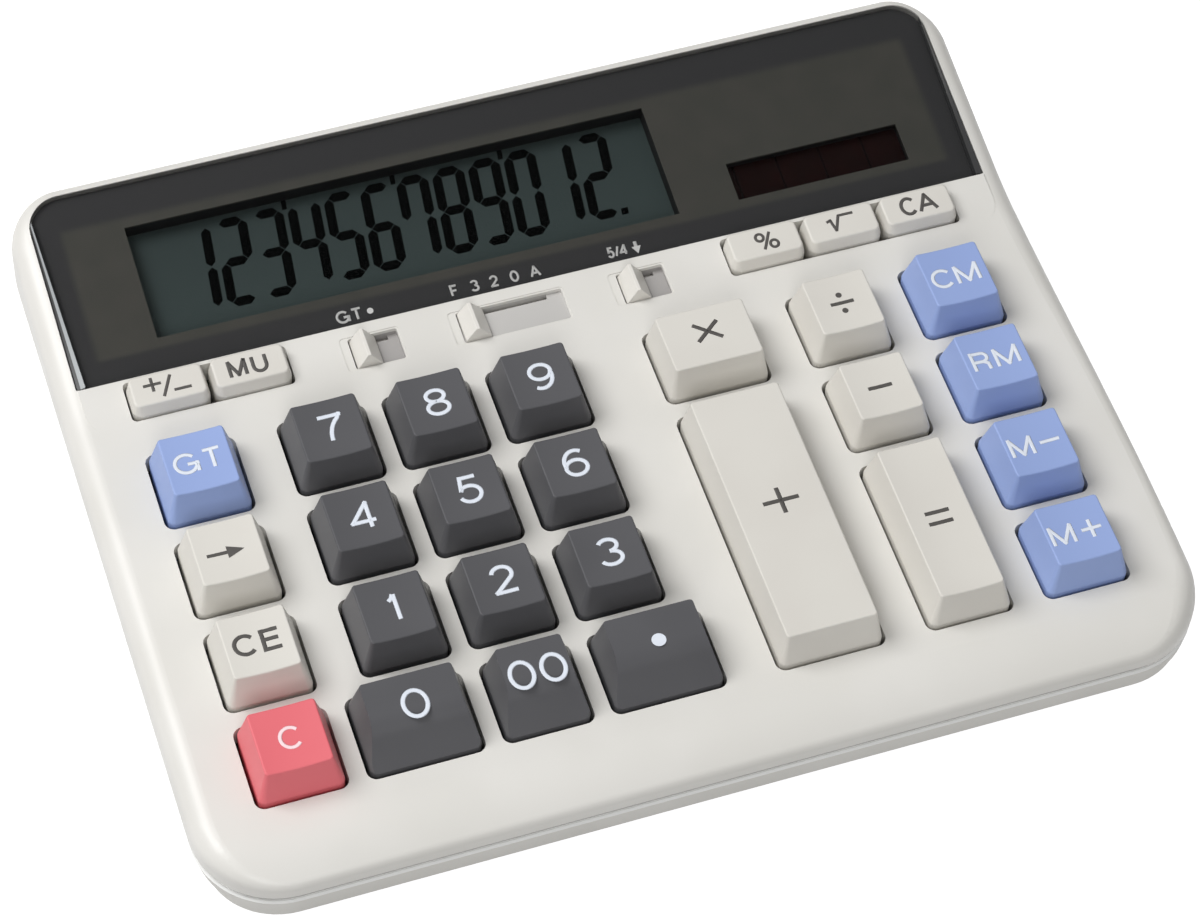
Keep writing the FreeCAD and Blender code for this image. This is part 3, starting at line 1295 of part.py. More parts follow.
def top_contact():
    """Strip over the cell that springs down on its cap, with a tab up through the holder's roof."""
    half = CONTACT_WIDTH / 2
    touch = DOOR_TOP + DOOR_GAP + BUTTON_HEIGHT + CONTACT_THICK / 2 + KNOB_GAP
    level = HOLDER_TOP - CONTACT_THICK / 2 - KNOB_GAP
    points = [(TOP_TAB_X, TAB_TOP), (TOP_TAB_X, level), (CELL_X - half / 2, level), (CELL_X, touch),
              (CELL_X + half, touch)]
    strip = bent_strip(points, CONTACT_THICK, CONTACT_THICK, -half, half)
    strip.rotate(V(0, 0, 0), V(0, 0, 1), -90)
    strip.translate(V(0, CELL_Y, 0))
    return from_table(strip)


def side_contact():
    """Upright strip that touches the side of the cell, with a tab above the holder."""
    half = CONTACT_WIDTH / 2
    return from_table(box(SIDE_TAB_X - CONTACT_THICK / 2, SIDE_TAB_X + CONTACT_THICK / 2,
                          CELL_Y - half, CELL_Y + half, DOOR_TOP + DOOR_GAP, TAB_TOP))


def lead(points):
    return wire_rod(points, LEAD_RADIUS, LEAD_BEND)


def battery_leads():
    """Two leads from the contact tabs to the underside of the board."""
    leads = []
    for tab_x in (TOP_TAB_X, SIDE_TAB_X):
        start = table_point(V(tab_x, CELL_Y - CONTACT_WIDTH / 2 - KNOB_GAP, TAB_TOP - LEAD_RADIUS))
        under = V(tab_x, BOARD_END - LEAD_SPACING, start.z)
        end = V(tab_x, BOARD_END - LEAD_SPACING, BOARD_BOTTOM - KNOB_GAP)
        leads.append(lead([start, under, end]))
    return Part.makeCompound(leads)


def solar_leads():
    """Two leads from the back of the solar cell to the top of the board."""
    leads = []
    back = -CELL_DEPTH - GLASS_GAP - CELL_THICK
    for way in (-1, 1):
        x = SOLAR_CENTRE + way * LEAD_SPACING
        start = V(x, *panel_point(SOLAR_START + SOLAR_LENGTH / 2, back - KNOB_GAP))
        below = V(x, *panel_point(SOLAR_START + SOLAR_LENGTH / 2, back - LEAD_DROP))
        end = V(x, BOARD_END - LEAD_SPACING / 2, BOARD_TOP + KNOB_GAP)
        above = V(x, end.y, below.z)
        leads.append(lead([start, below, above, end]))
    return Part.makeCompound(leads)


def pieces():
    """Every node of the calculator and its shape in the deck frame."""
    made = {
        "top_case": top_case(),
        "bottom_case": bottom_case(),
        "display_window": display_window(),
        "display_mask": display_mask(),
        "display_bezel": display_bezel(),
        "lcd_glass": lcd_glass(),
        "lcd_ribbon": lcd_ribbon(),
        "solar_cell": solar_cell(),
        "solar_leads": solar_leads(),
        "key_mat": key_mat(),
        "main_board": main_board(),
        "controller_chip": controller_chip(),
        "capacitors": capacitors(),
        "board_screws": board_screws(),
        "case_screws": case_screws(),
        "rubber_feet": rubber_feet(),
        "battery_door": battery_door(),
        "battery_door_screw": battery_door_screw(),
        "button_cell": button_cell(),
        "battery_top_contact": top_contact(),
        "battery_side_contact": side_contact(),
        "battery_leads": battery_leads(),
    }
    for key in KEYS:
        made[key.name] = keycap(key)
    for name, wire in LEVEL_WIRES.items():
        made["levelling_wire_" + name] = levelling_wire(wire)
    for switch in SWITCHES:
        made["switch_knob_" + switch.name] = knob(switch)
        made["switch_wiper_" + switch.name] = wiper(switch)
    return made


def to_table(made):
    """Stands the pieces on the table, with the origin under the middle of the case."""
    placed = {}
    for name, shape in made.items():
        copy = shape.copy()
        copy.Placement = TABLE.multiply(copy.Placement)
        placed[name] = copy
    halves = [placed[name].optimalBoundingBox(False, False) for name in ("top_case", "bottom_case")]
    front = min(half.YMin for half in halves)
    back = max(half.YMax for half in halves)
    middle = (front + back) / 2
    for shape in placed.values():
        shape.translate(V(0, -middle, 0))
    return placed, middle


os.makedirs("parts", exist_ok=True)
PLACED, MIDDLE = to_table(pieces())
for name, shape in PLACED.items():
    shape.exportStep("parts/%s.step" % name)
    size = shape.optimalBoundingBox(False, False)
    print("%-22s solids %2d valid %s size %.1f x %.1f x %.1f" % (
        name, len(shape.Solids), shape.isValid(), size.XLength, size.YLength, size.ZLength))
print("origin lies %.4f behind the front edge of the deck frame" % MIDDLE)
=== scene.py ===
"""Looks of the desktop calculator: finishes, key legends, display digits, window print and rubber mat.

Pieces are modelled in millimetres, in the frame of the key deck or of the tilted display panel,
and are then put in the row frame in metres. All frames have X to the right, Y back and Z up.
"""
import json
import math

import bpy
from mathutils import Matrix, Quaternion, Vector


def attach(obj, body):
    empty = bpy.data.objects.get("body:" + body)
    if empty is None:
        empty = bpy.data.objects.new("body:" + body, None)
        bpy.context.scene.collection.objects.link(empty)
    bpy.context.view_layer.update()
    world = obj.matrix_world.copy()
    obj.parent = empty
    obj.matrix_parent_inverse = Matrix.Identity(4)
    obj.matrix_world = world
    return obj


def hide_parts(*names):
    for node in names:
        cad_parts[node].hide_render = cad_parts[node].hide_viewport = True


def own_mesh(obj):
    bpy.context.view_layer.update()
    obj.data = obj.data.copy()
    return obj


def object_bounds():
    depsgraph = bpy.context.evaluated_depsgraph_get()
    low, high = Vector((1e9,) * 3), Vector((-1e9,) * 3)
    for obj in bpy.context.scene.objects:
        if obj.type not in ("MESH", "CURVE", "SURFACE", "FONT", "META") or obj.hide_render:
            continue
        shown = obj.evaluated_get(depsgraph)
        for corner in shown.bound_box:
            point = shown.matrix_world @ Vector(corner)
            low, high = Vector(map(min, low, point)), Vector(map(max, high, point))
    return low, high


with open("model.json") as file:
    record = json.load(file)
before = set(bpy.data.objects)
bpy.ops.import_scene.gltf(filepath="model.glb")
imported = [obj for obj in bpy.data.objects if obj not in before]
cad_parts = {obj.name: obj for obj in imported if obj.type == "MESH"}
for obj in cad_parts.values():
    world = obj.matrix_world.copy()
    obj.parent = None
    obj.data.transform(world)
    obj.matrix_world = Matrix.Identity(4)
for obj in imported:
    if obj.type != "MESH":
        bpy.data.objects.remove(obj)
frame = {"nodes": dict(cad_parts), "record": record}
cad_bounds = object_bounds()

# Frames of the calculator
MM = 0.001
DECK_SLOPE = math.radians(6.0)
DECK_MIDDLE = 71.9108
DECK_LIFT = 14.2293
PANEL_TILT = math.radians(10.0)
PANEL_START = 103.3
PANEL_RISE = 0.945
TO_DECK = Matrix.Translation((0, -DECK_MIDDLE, DECK_LIFT)) @ Matrix.Rotation(DECK_SLOPE, 4, "X")
TO_PANEL = TO_DECK @ Matrix.Translation((0, PANEL_START, PANEL_RISE)) @ Matrix.Rotation(PANEL_TILT, 4, "X")
DECK = Matrix.Scale(MM, 4) @ TO_DECK
PANEL = Matrix.Scale(MM, 4) @ TO_PANEL

# Keys, as they lie on the deck
KEY_TOP = 7.0
ROW = [21.85 + 19.0 * index for index in range(4)]
COLUMN = [-46.2 + 19.0 * index for index in range(3)]
OUTER = 69.7
PLUS = 22.85
MINUS = 48.1
WIDE_SHIFT = 2.2
SMALL_PITCH = 14.76
SMALL_ROW = 98.4
SMALL_TOP = 2.9
SMALL_TILT = math.radians(5.5)
SMALL_EDGE = 77.55
INK_THICK = 0.06
KEY_DISH = 0.3
DISH_RADIUS = 55.25
LINE_STEP = 0.6
SHARP_CORNER = math.radians(35)
MAIN_KEYS = {
    "key_clear": (-OUTER, ROW[0]), "key_clear_entry": (-OUTER, ROW[1]),
    "key_backspace": (-OUTER, ROW[2]), "key_grand_total": (-OUTER, ROW[3]),
    "key_memory_plus": (OUTER, ROW[0]), "key_memory_minus": (OUTER, ROW[1]),
    "key_memory_recall": (OUTER, ROW[2]), "key_memory_clear": (OUTER, ROW[3]),
    "key_0": (COLUMN[0] - WIDE_SHIFT, ROW[0]), "key_00": (COLUMN[1], ROW[0]),
    "key_point": (COLUMN[2] + WIDE_SHIFT, ROW[0]), "key_multiply": (PLUS, ROW[3]),
    "key_divide": (MINUS, ROW[3]), "key_minus": (MINUS, ROW[2]), "key_plus": (PLUS, ROW[1]),
    "key_equals": (MINUS, (ROW[0] + ROW[1]) / 2),
}
for number in range(1, 10):
    MAIN_KEYS["key_%d" % number] = (COLUMN[(number - 1) % 3], ROW[1 + (number - 1) // 3])
SMALL_KEYS = {
    "key_sign": (-SMALL_EDGE + 0.5 * SMALL_PITCH, SMALL_ROW),
    "key_markup": (-SMALL_EDGE + 1.5 * SMALL_PITCH, SMALL_ROW),
    "key_percent": (SMALL_EDGE - 2.5 * SMALL_PITCH, SMALL_ROW),
    "key_root": (SMALL_EDGE - 1.5 * SMALL_PITCH, SMALL_ROW),
    "key_clear_all": (SMALL_EDGE - 0.5 * SMALL_PITCH, SMALL_ROW),
}

# Display, in the panel frame
GLASS_FACE = -5.25
MASK_FACE = -1.35
WINDOW_HALF = 85.2
WINDOW_LENGTH = 38.0
BEVEL_FRONT = 1.5
BEVEL_BACK = 0.3
BEVEL_DARK_SHARE = 0.42
PRINT_HALF = 80.2
PRINT_START = 4.9
PRINT_END = 31.4
GLASS_START = 6.0
GLASS_END = 31.0
SOLAR_STRIP = 8.32

# Pockets of the switches, each with its left end and its length, and the seam between the halves
SWITCH_NOTCHES = ((-37.1, 9.1), (-17.1, 19.8), (13.0, 8.8))
POCKET_START = 94.3
POCKET_END = 100.6
POCKET_FLOOR = -0.42
# Painted shade on the floors of the three pockets: darker colours that stand in for their shadow
POCKET_PAINTED_SHADES = ((166, 163, 161), (193, 191, 188), (166, 163, 161))
SEAM = -6.0
LIP_TOP = -7.5
LIP_EDGE = -7.85

# Rubber mat
MAT_TOP = -8.15
MAT_THICK = 0.7
MAT_HALF_WIDTH = 78.0
MAT_START = 13.2
MAT_END = 103.2
MAT_CORNER = 1.8
DOME_BASE = 4.2
DOME_TOP = 2.4
DOME_HEIGHT = 2.75
PILL_RADIUS = 1.5


def deselect():
    bpy.ops.object.select_all(action="DESELECT")


def finished(piece, name, finish, place):
    """Puts a modelled piece in the row frame and gives it its name and finish."""
    piece.data.transform(place)
    piece.name = piece.data.name = name
    piece.data.materials.clear()
    piece.data.materials.append(finish)
    deselect()
    return piece


def joined(pieces):
    deselect()
    for piece in pieces:
        piece.select_set(True)
    bpy.context.view_layer.objects.active = pieces[0]
    if len(pieces) > 1:
        bpy.ops.object.join()
    return pieces[0]


def settled(piece):
    """Moves a piece's place, turn and size into its mesh."""
    deselect()
    piece.select_set(True)
    bpy.context.view_layer.objects.active = piece
    bpy.ops.object.transform_apply(location=True, rotation=True, scale=True)
    return piece


# Finishes

def linear(red, green, blue):
    """Colour as a screen shows it, 0 to 255, turned into light."""
    parts = []
    for part in (red, green, blue):
        share = part / 255
        parts.append(share / 12.92 if share <= 0.04045 else ((share + 0.055) / 1.055) ** 2.4)
    return (*parts, 1.0)


class Value:
    """A number or place inside a finish, on which plain signs add Math nodes."""

    def __init__(self, finish, socket):
        self.finish = finish
        self.socket = socket

    def maths(self, operation, *values):
        return self.finish.node("ShaderNodeMath", {"operation": operation}, dict(enumerate(values)))

    def __add__(self, other):
        return self.maths("ADD", self, other)

    def __sub__(self, other):
        return self.maths("SUBTRACT", self, other)

    def __rsub__(self, other):
        return self.maths("SUBTRACT", other, self)

    def __mul__(self, other):
        return self.maths("MULTIPLY", self, other)

    def __abs__(self):
        return self.maths("ABSOLUTE", self)

    __radd__ = __add__
    __rmul__ = __mul__

    def step(self, start, end):
        """Rises softly from 0 at start to 1 at end."""
        return self.finish.node("ShaderNodeMapRange", {"interpolation_type": "SMOOTHSTEP"},
                                {"Value": self, "From Min": start, "From Max": end})

    def parts(self):
        split = self.finish.tree.nodes.new("ShaderNodeSeparateXYZ")
        self.finish.feed(split, {0: self})
        return [Value(self.finish, socket) for socket in split.outputs]


class Finish:
    """One material: a Principled shader with its constants, and the nodes that feed it."""

    def __init__(self, name, colour, roughness, **constants):
        self.material = bpy.data.materials.new(name)
        self.material.use_nodes = True
        self.tree = self.material.node_tree
        self.shader = self.tree.nodes["Principled BSDF"]
        self.colour = self.base = linear(*colour)
        self.feed(self.shader, {"Base Color": self.colour, "Roughness": roughness})
        self.feed(self.shader, {words.replace("_", " "): value for words, value in constants.items()})

    def feed(self, node, values):
        for name, value in values.items():
            if isinstance(value, Value):
                self.tree.links.new(value.socket, node.inputs[name])
            else:
                node.inputs[name].default_value = value

    def node(self, kind, settings, values, output=0):
        node = self.tree.nodes.new(kind)
        for name, value in settings.items():
            setattr(node, name, value)
        self.feed(node, values)
        return Value(self, node.outputs[output])

    def place(self):
        return self.node("ShaderNodeTexCoord", {}, {}, "Object")

    def place_on(self, frame_matrix):
        """Place in millimetres in the frame of the deck or of the panel."""
        where = frame_matrix.to_translation() * MM
        turn = frame_matrix.to_euler()
        return self.node("ShaderNodeMapping", {"vector_type": "TEXTURE"},
                         {"Vector": self.place(), "Location": where, "Rotation": turn, "Scale": (MM, MM, MM)})

    def noise(self, size, detail=2.0):
        """Cloudy pattern from 0 to 1, with spots of about that size in millimetres."""
        return self.node("ShaderNodeTexNoise", {},
                         {"Vector": self.place(), "Scale": 1 / (size * MM), "Detail": detail})

    def mix(self, share, first, second):
        return self.node("ShaderNodeMix", {"data_type": "RGBA"}, {0: share, 6: first, 7: second}, 2)

    def tinted(self, colour, amount, size):
        """Lets the colour drift a little towards another one in soft clouds."""
        share = self.noise(size).step(0.35, 0.65) * amount
        self.base = self.mix(share, self.colour, linear(*colour))
        self.feed(self.shader, {"Base Color": self.base})
        return self

    def grained(self, size, depth):
        """Fine moulded grain."""
        grain = self.noise(size, 3.0)
        bump = self.node("ShaderNodeBump", {}, {"Height": grain, "Strength": 1.0, "Distance": depth * MM})
        self.feed(self.shader, {"Normal": bump})
        return self


def satin_finish(name, colour, shade, roughness=0.42, coat=0.15, shine=0.5):
    """Moulded plastic with a fine grain, a little cloudiness and slightly uneven gloss."""
    finish = Finish(name, colour, roughness, Coat_Weight=coat, Coat_Roughness=0.25, Specular_IOR_Level=shine)
    finish.tinted(shade, 0.5, 22.0).grained(0.35, 0.006)
    gloss = finish.noise(9.0).step(0.3, 0.7) * 0.06 + (roughness - 0.03)
    finish.feed(finish.shader, {"Roughness": gloss})
    return finish


def satin_plastic(*words):
    """Material of a piece moulded in one satin plastic."""
    return satin_finish(*words).material


def within(place, start, end, soft=0.08):
    """1 between two places, 0 outside them, with soft ends."""
    return place.step(start - soft, start) * (1 - place.step(end, end + soft))


def upper_case():
    """Plastic of the upper half, with painted shade on the floors of the switch pockets."""
    finish = satin_finish("case_plastic", IVORY, IVORY_SHADE)
    across, along, up = finish.place_on(TO_DECK).parts()
    # Mask of the pocket floors, where the painted shade goes
    low = within(along, POCKET_START, POCKET_END) * (1 - up.step(POCKET_FLOOR, POCKET_FLOOR + 0.1))
    colour = finish.base
    for (left, length), shade in zip(SWITCH_NOTCHES, POCKET_PAINTED_SHADES):
        colour = finish.mix(low * within(across, left, left + length), colour, linear(*shade))
    finish.feed(finish.shader, {"Base Color": colour})
    return finish.material


def lower_case():
    """Plastic of the lower half, with a painted highlight along the lip's edge and painted shade in the
    groove above it.
    """
    finish = satin_finish("base_plastic", IVORY, IVORY_SHADE, 0.5, 0.05)
    _, _, up = finish.place_on(TO_DECK).parts()
    # Painted highlight along the lip's edge
    lip_painted_highlight = finish.mix(within(up, LIP_EDGE, LIP_TOP), finish.base, linear(243, 243, 241))
    # Painted shade in the seam groove above the lip
    dark = finish.mix(within(up, LIP_TOP + 0.1, SEAM), lip_painted_highlight, linear(172, 171, 168))
    finish.feed(finish.shader, {"Base Color": dark})
    return finish.material


def printed_ink(name, colour, shade):
    finish = Finish(name, colour, 0.4)
    return finish.tinted(shade, 0.4, 1.2).grained(0.2, 0.004).material


def metal(name, colour, roughness, grain):
    finish = Finish(name, colour, roughness, Metallic=1.0)
    finish.tinted([part * 0.85 for part in colour], 0.5, grain * 6)
    return finish.grained(grain, 0.004).material


def clear_window():
    """Clear sheet with frosted bevelled sides: the left one pale, partly painted reflection, with a dark
    outer part, and the right one dark with painted shade.
    """
    finish = Finish("window_clear", (8, 9, 9), 0.03, IOR=1.45)
    across, along, _ = finish.place_on(TO_PANEL).parts()
    bevel = along * ((BEVEL_BACK - BEVEL_FRONT) / WINDOW_LENGTH) + BEVEL_FRONT
    frosted = (abs(across) + bevel - WINDOW_HALF).step(-0.05, 0.15)
    dark = (abs(across) + bevel * BEVEL_DARK_SHARE - WINDOW_HALF).step(-0.03, 0.06)
    # The whole right bevel is dark: painted shade on the side turned away from the lamps
    dark = dark.maths("MAXIMUM", dark, across.step(-1.0, 1.0))
    gloss = finish.node("ShaderNodeLayerWeight", {}, {"Blend": 0.35}, "Fresnel")
    alpha = gloss * 0.5 + 0.05
    # Bevel tones: the pale one is frosting and partly a painted reflection; the dark one is the left bevel's
    # outer part and painted shade on the right bevel
    bevel_tone_painted_light = finish.mix(dark, linear(160, 164, 166), linear(62, 62, 63))
    finish.feed(finish.shader, {
        "Alpha": alpha * (1 - frosted) + frosted,
        "Base Color": finish.mix(frosted, finish.colour, bevel_tone_painted_light),
        "Roughness": frosted * 0.35 + 0.03,
    })
    return finish.material


def window_print():
    """Dark print behind the window, warmer inside a soft edged field."""
    finish = Finish("mask_print", (69, 69, 70), 0.5, Specular_IOR_Level=0.1)
    across, along, _ = finish.place_on(TO_PANEL).parts()
    inside = 1 - abs(across).step(PRINT_HALF - 1, PRINT_HALF + 1)
    inside = inside * along.step(PRINT_START - 0.7, PRINT_START + 0.7)
    inside = inside * (1 - along.step(PRINT_END - 1, PRINT_END + 1))
    warm = finish.mix(finish.noise(6.0).step(0.3, 0.7), linear(83, 83, 78), linear(87, 86, 81))
    finish.feed(finish.shader, {"Base Color": finish.mix(inside, finish.colour, warm)})
    return finish.material


def display_glass():
    """Grey green reflector of a liquid crystal display, a little darker towards its top."""
    finish = Finish("lcd_glass", (52, 66, 68), 0.3, Specular_IOR_Level=0.1)
    _, along, _ = finish.place_on(TO_PANEL).parts()
    shade = along.step(GLASS_START, GLASS_END)
    tone = finish.mix(shade, linear(72, 84, 83), linear(66, 77, 76))
    speck = finish.noise(0.4).step(0.4, 0.6) * 0.12
    finish.feed(finish.shader, {"Base Color": finish.mix(speck, tone, linear(82, 94, 95))})
    return finish.material


def solar_silicon():
    """Dark red brown film in upright strips with thin dark lines between them."""
    finish = Finish("solar_cell", (26, 5, 4), 0.2, Specular_IOR_Level=0.1)
    across, _, _ = finish.place_on(TO_PANEL).parts()
    strip = abs(across.maths("FRACT", across * (1 / SOLAR_STRIP)) - 0.5)
    line = strip.step(0.47, 0.49)
    tone = finish.mix(finish.noise(3.0).step(0.3, 0.7), linear(24, 5, 4), linear(30, 7, 6))
    finish.feed(finish.shader, {"Base Color": finish.mix(line, tone, linear(10, 2, 2))})
    return finish.material


def soft_rubber(name, colour, shade):
    finish = Finish(name, colour, 0.75, Specular_IOR_Level=0.3)
    return finish.tinted(shade, 0.6, 4.0).grained(0.5, 0.02).material


def lacquered(name, colour, shade, size, coat):
    return Finish(name, colour, 0.3, Coat_Weight=coat).tinted(shade, 0.5, size).material


def chip_resin():
    """Black drop of resin with an uneven skin."""
    return Finish("chip_resin", (18, 18, 18), 0.3).tinted((28, 28, 28), 0.6, 2.0).grained(1.5, 0.05).material


def laminate():
    """Green lacquered board with faint copper tracks under the lacquer."""
    finish = Finish("board_laminate", (30, 84, 52), 0.35, Coat_Weight=0.4)
    _, along, _ = finish.place_on(TO_DECK).parts()
    tracks = abs(along.maths("SINE", along * 2.6)).step(0.9, 0.98) * finish.noise(14.0).step(0.45, 0.5)
    finish.feed(finish.shader, {"Base Color": finish.mix(tracks * 0.6, finish.colour, linear(52, 116, 70))})
    return finish.material


IVORY = (222, 220, 215)
IVORY_SHADE = (215, 213, 207)
GREY = (88, 88, 91)
WHITE_INK = printed_ink("legend_white", (224, 230, 240), (215, 221, 232))
DARK_INK = printed_ink("legend_dark", (84, 81, 78), (74, 71, 69))
PINK_INK = printed_ink("legend_pale", (252, 222, 226), (248, 210, 216))
PANEL_INK = printed_ink("panel_print", (238, 238, 236), (226, 226, 224))
FINISHES = {
    "case_plastic": upper_case(),
    "base_plastic": lower_case(),
    "window_clear": clear_window(),
    "mask_print": window_print(),
    "black_plastic": satin_plastic("black_plastic", (14, 14, 15), (18, 18, 19), 0.5, 0.0),
    "lcd_glass": display_glass(),
    "ribbon_film": lacquered("ribbon_film", (176, 104, 40), (160, 90, 34), 3.0, 0.4),
    "solar_cell": solar_silicon(),
    "lead_insulation": soft_rubber("lead_insulation", (170, 30, 28), (150, 24, 24)),
    "mat_rubber": soft_rubber("mat_rubber", (176, 176, 172), (168, 168, 164)),
    "board_laminate": laminate(),
    "chip_resin": chip_resin(),
    "capacitor_sleeve": lacquered("capacitor_sleeve", (24, 30, 44), (34, 40, 56), 2.0, 0.0),
    "screw_steel": metal("screw_steel", (176, 176, 172), 0.3, 0.4),
    "foot_rubber": soft_rubber("foot_rubber", (60, 60, 60), (50, 50, 50)),
    "cell_steel": metal("cell_steel", (198, 198, 194), 0.22, 0.6),
    "contact_metal": metal("contact_metal", (206, 186, 130), 0.28, 0.5),
    "wire_steel": metal("wire_steel", (186, 186, 184), 0.25, 0.3),
    "knob_ivory": satin_plastic("knob_ivory", (226, 223, 217), (219, 216, 209), 0.35, 0.2),
    "key_grey": satin_plastic("key_grey", GREY, (82, 82, 85), 0.45, 0.1, 0.2),
    "key_ivory": satin_plastic("key_ivory", (216, 213, 206), (209, 205, 198), 0.45, 0.1, 0.3),
    "key_blue": satin_plastic("key_blue", (149, 169, 218), (142, 162, 212), 0.45, 0.1, 0.3),
    "key_pink": satin_plastic("key_pink", (228, 112, 120), (222, 105, 114), 0.45, 0.1, 0.3),
}


def dress_nodes():
    """Gives every solid of the CAD model the finish of its slot."""
    slots = {row["node"]: row["material_slot"] for row in frame["record"]["subparts"]}
    for name, node in frame["nodes"].items():
        node.data.materials.clear()
        node.data.materials.append(FINISHES[slots[name]])


# Printed characters and marks

def arc(x, y, across, along, start, end):
    """Points on an oval round x, y, from one angle to another in degrees."""
    count = max(6, round(abs(end - start) / 13))
    turns = [math.radians(start + (end - start) * step / count) for step in range(count + 1)]
    return [(x + across * math.cos(turn), y + along * math.sin(turn)) for turn in turns]


# Middle lines of the characters, in a box one wide and one high
CHARACTERS = {
    "0": [arc(0.5, 0.5, 0.5, 0.5, 0, 360)],
    "1": [[(0.62, 0), (0.62, 1)], [(0.2, 0.76), (0.42, 0.84), (0.58, 1)]],
    "2": [arc(0.5, 0.71, 0.46, 0.29, 170, -35) + [(0.02, 0), (1, 0)]],
    "3": [arc(0.47, 0.765, 0.43, 0.235, 158, -90), arc(0.47, 0.265, 0.5, 0.265, 90, -160)],
    "4": [[(0.76, 0), (0.76, 1), (0, 0.27), (1, 0.27)]],
    "5": [[(0.9, 1), (0.2, 1), (0.09, 0.48)] + arc(0.47, 0.325, 0.51, 0.325, 128, -160)],
    "6": [arc(0.5, 0.31, 0.5, 0.31, 0, 360), arc(0.58, 0.5, 0.58, 0.5, 58, 200)],
    "7": [[(0, 1), (1, 1)] + arc(1.32, -0.02, 0.92, 0.98, 118, 180)],
    "8": [arc(0.5, 0.765, 0.43, 0.235, 0, 360), arc(0.5, 0.265, 0.5, 0.265, 0, 360)],
    "9": [arc(0.5, 0.69, 0.5, 0.31, 0, 360), arc(0.42, 0.5, 0.58, 0.5, -122, 20)],
    "A": [[(0, 0), (0.5, 1), (1, 0)], [(0.18, 0.34), (0.82, 0.34)]],
    "C": [arc(0.53, 0.5, 0.53, 0.5, 42, 318)],
    "E": [[(1, 1), (0, 1), (0, 0), (1, 0)], [(0, 0.53), (0.93, 0.53)]],
    "F": [[(1, 1), (0, 1), (0, 0)], [(0, 0.5), (0.88, 0.5)]],
    "G": [arc(0.5, 0.5, 0.5, 0.5, 42, 330) + [(1, 0.46), (0.56, 0.46)], [(1, 0.46), (1, 0)]],
    "M": [[(0, 0), (0, 1), (0.5, 0.08), (1, 1), (1, 0)]],
    "R": [[(0, 0), (0, 1), (0.6, 1)] + arc(0.62, 0.75, 0.33, 0.25, 90, -90) + [(0, 0.5)],
          [(0.62, 0.5), (0.9, 0.36), (0.93, 0)]],
    "T": [[(0, 1), (1, 1)], [(0.5, 1), (0.5, 0)]],
    "U": [[(0, 1)] + arc(0.5, 0.36, 0.5, 0.36, 180, 360) + [(1, 1)]],
    "%": [arc(0.2, 0.76, 0.19, 0.22, 0, 360), arc(0.8, 0.24, 0.19, 0.22, 0, 360), [(0.26, 0), (0.74, 1)]],
    "/": [[(0, 0), (1, 1)]],
    "+": [[(0, 0.5), (1, 0.5)], [(0.5, 0), (0.5, 1)]],
    "-": [[(0, 0.5), (1, 0.5)]],
    "x": [[(0, 0), (1, 1)], [(0, 1), (1, 0)]],
    "=": [[(0, 1), (1, 1)], [(0, 0), (1, 0)]],
    "root": [[(0, 0.7), (0.15, 0.78), (0.24, 0), (0.48, 1), (1, 1)]],
}


def character(name, x, y, width, height, weight):
    """Middle lines of a character whose ink has that width and height, centred at x, y."""
    across, along = width - weight, height - weight
    return [[(x + (u - 0.5) * across, y + (v - 0.5) * along) for u, v in line] for line in CHARACTERS[name]]


def divided(points):
    """Adds points to long straight runs, so that they can follow a hollow key top."""
    fine = [points[0]]
    for before, after in zip(points, points[1:]):
        count = math.ceil((after - before).length / LINE_STEP)
        fine += [before.lerp(after, (step + 1) / count) for step in range(count)]
    return fine


def runs_between_corners(line, weight):
    """Splits a line at its sharp corners, where each run goes on far enough to fill the corner."""
    points = [Vector(point) for point in line]
    runs = [[points[0]]]
    for before, here, after in zip(points, points[1:], points[2:]):
        reached = (here - before).normalized()
        ahead = (after - here).normalized()
        turn = reached.angle(ahead)
        if turn < SHARP_CORNER:
            runs[-1].append(here)
        else:
            past = weight / 2 * min(math.tan(turn / 2), math.sin(turn))
            runs[-1].append(here + reached * past)
            runs.append([here - ahead * past])
    runs[-1].append(points[-1])
    return [divided(run) for run in runs]


def ink_lines(lines, weight):
    """Flat printed lines of one weight."""
    deselect()
    curve = bpy.data.curves.new("ink_lines", "CURVE")
    curve.dimensions = "3D"
    curve.bevel_depth = weight / 2
    curve.bevel_resolution = 1
    curve.use_fill_caps = True
    for line in lines:
        for run in runs_between_corners(line, weight):
            spline = curve.splines.new("POLY")
            closed = len(run) > 3 and (run[0] - run[-1]).length < LINE_STEP / 10
            run = run[:-1] if closed else run
            spline.use_cyclic_u = closed
            spline.points.add(len(run) - 1)
            for point, place in zip(spline.points, run):
                point.co = (*place, 0, 1)
    mark = bpy.data.objects.new("ink_lines", curve)
    bpy.context.scene.collection.objects.link(mark)
    bpy.context.view_layer.objects.active = mark
    mark.select_set(True)
    bpy.ops.object.convert(target="MESH")
    mark.data.transform(Matrix.Diagonal((1, 1, INK_THICK / weight, 1)))
    return mark


def ink_dot(x, y, radius, sides=28, turn=0.0):
    """Printed dot, or with three sides an arrow head."""
    deselect()
    bpy.ops.mesh.primitive_cylinder_add(vertices=sides, radius=radius, depth=INK_THICK, location=(x, y, 0),
                                        rotation=(0, 0, turn))
    return settled(bpy.context.object)


def characters(weight, height, *placed):
    """Characters of one weight and height, each given by its name, middle and width."""
    lines = []
    for name, x, y, width in placed:
        lines += character(name, x, y, width, height, weight)
    return [ink_lines(lines, weight)]


def lettering(weight, height, *placed):
    """Characters that are drawn when their key's turn comes."""
    return lambda: characters(weight, height, *placed)


def divide_sign():
    dots = [ink_dot(-0.25, 1.75, 0.56), ink_dot(-0.25, -1.75, 0.56)]
    return characters(0.76, 0.76, ("-", -0.2, 0, 5.1)) + dots


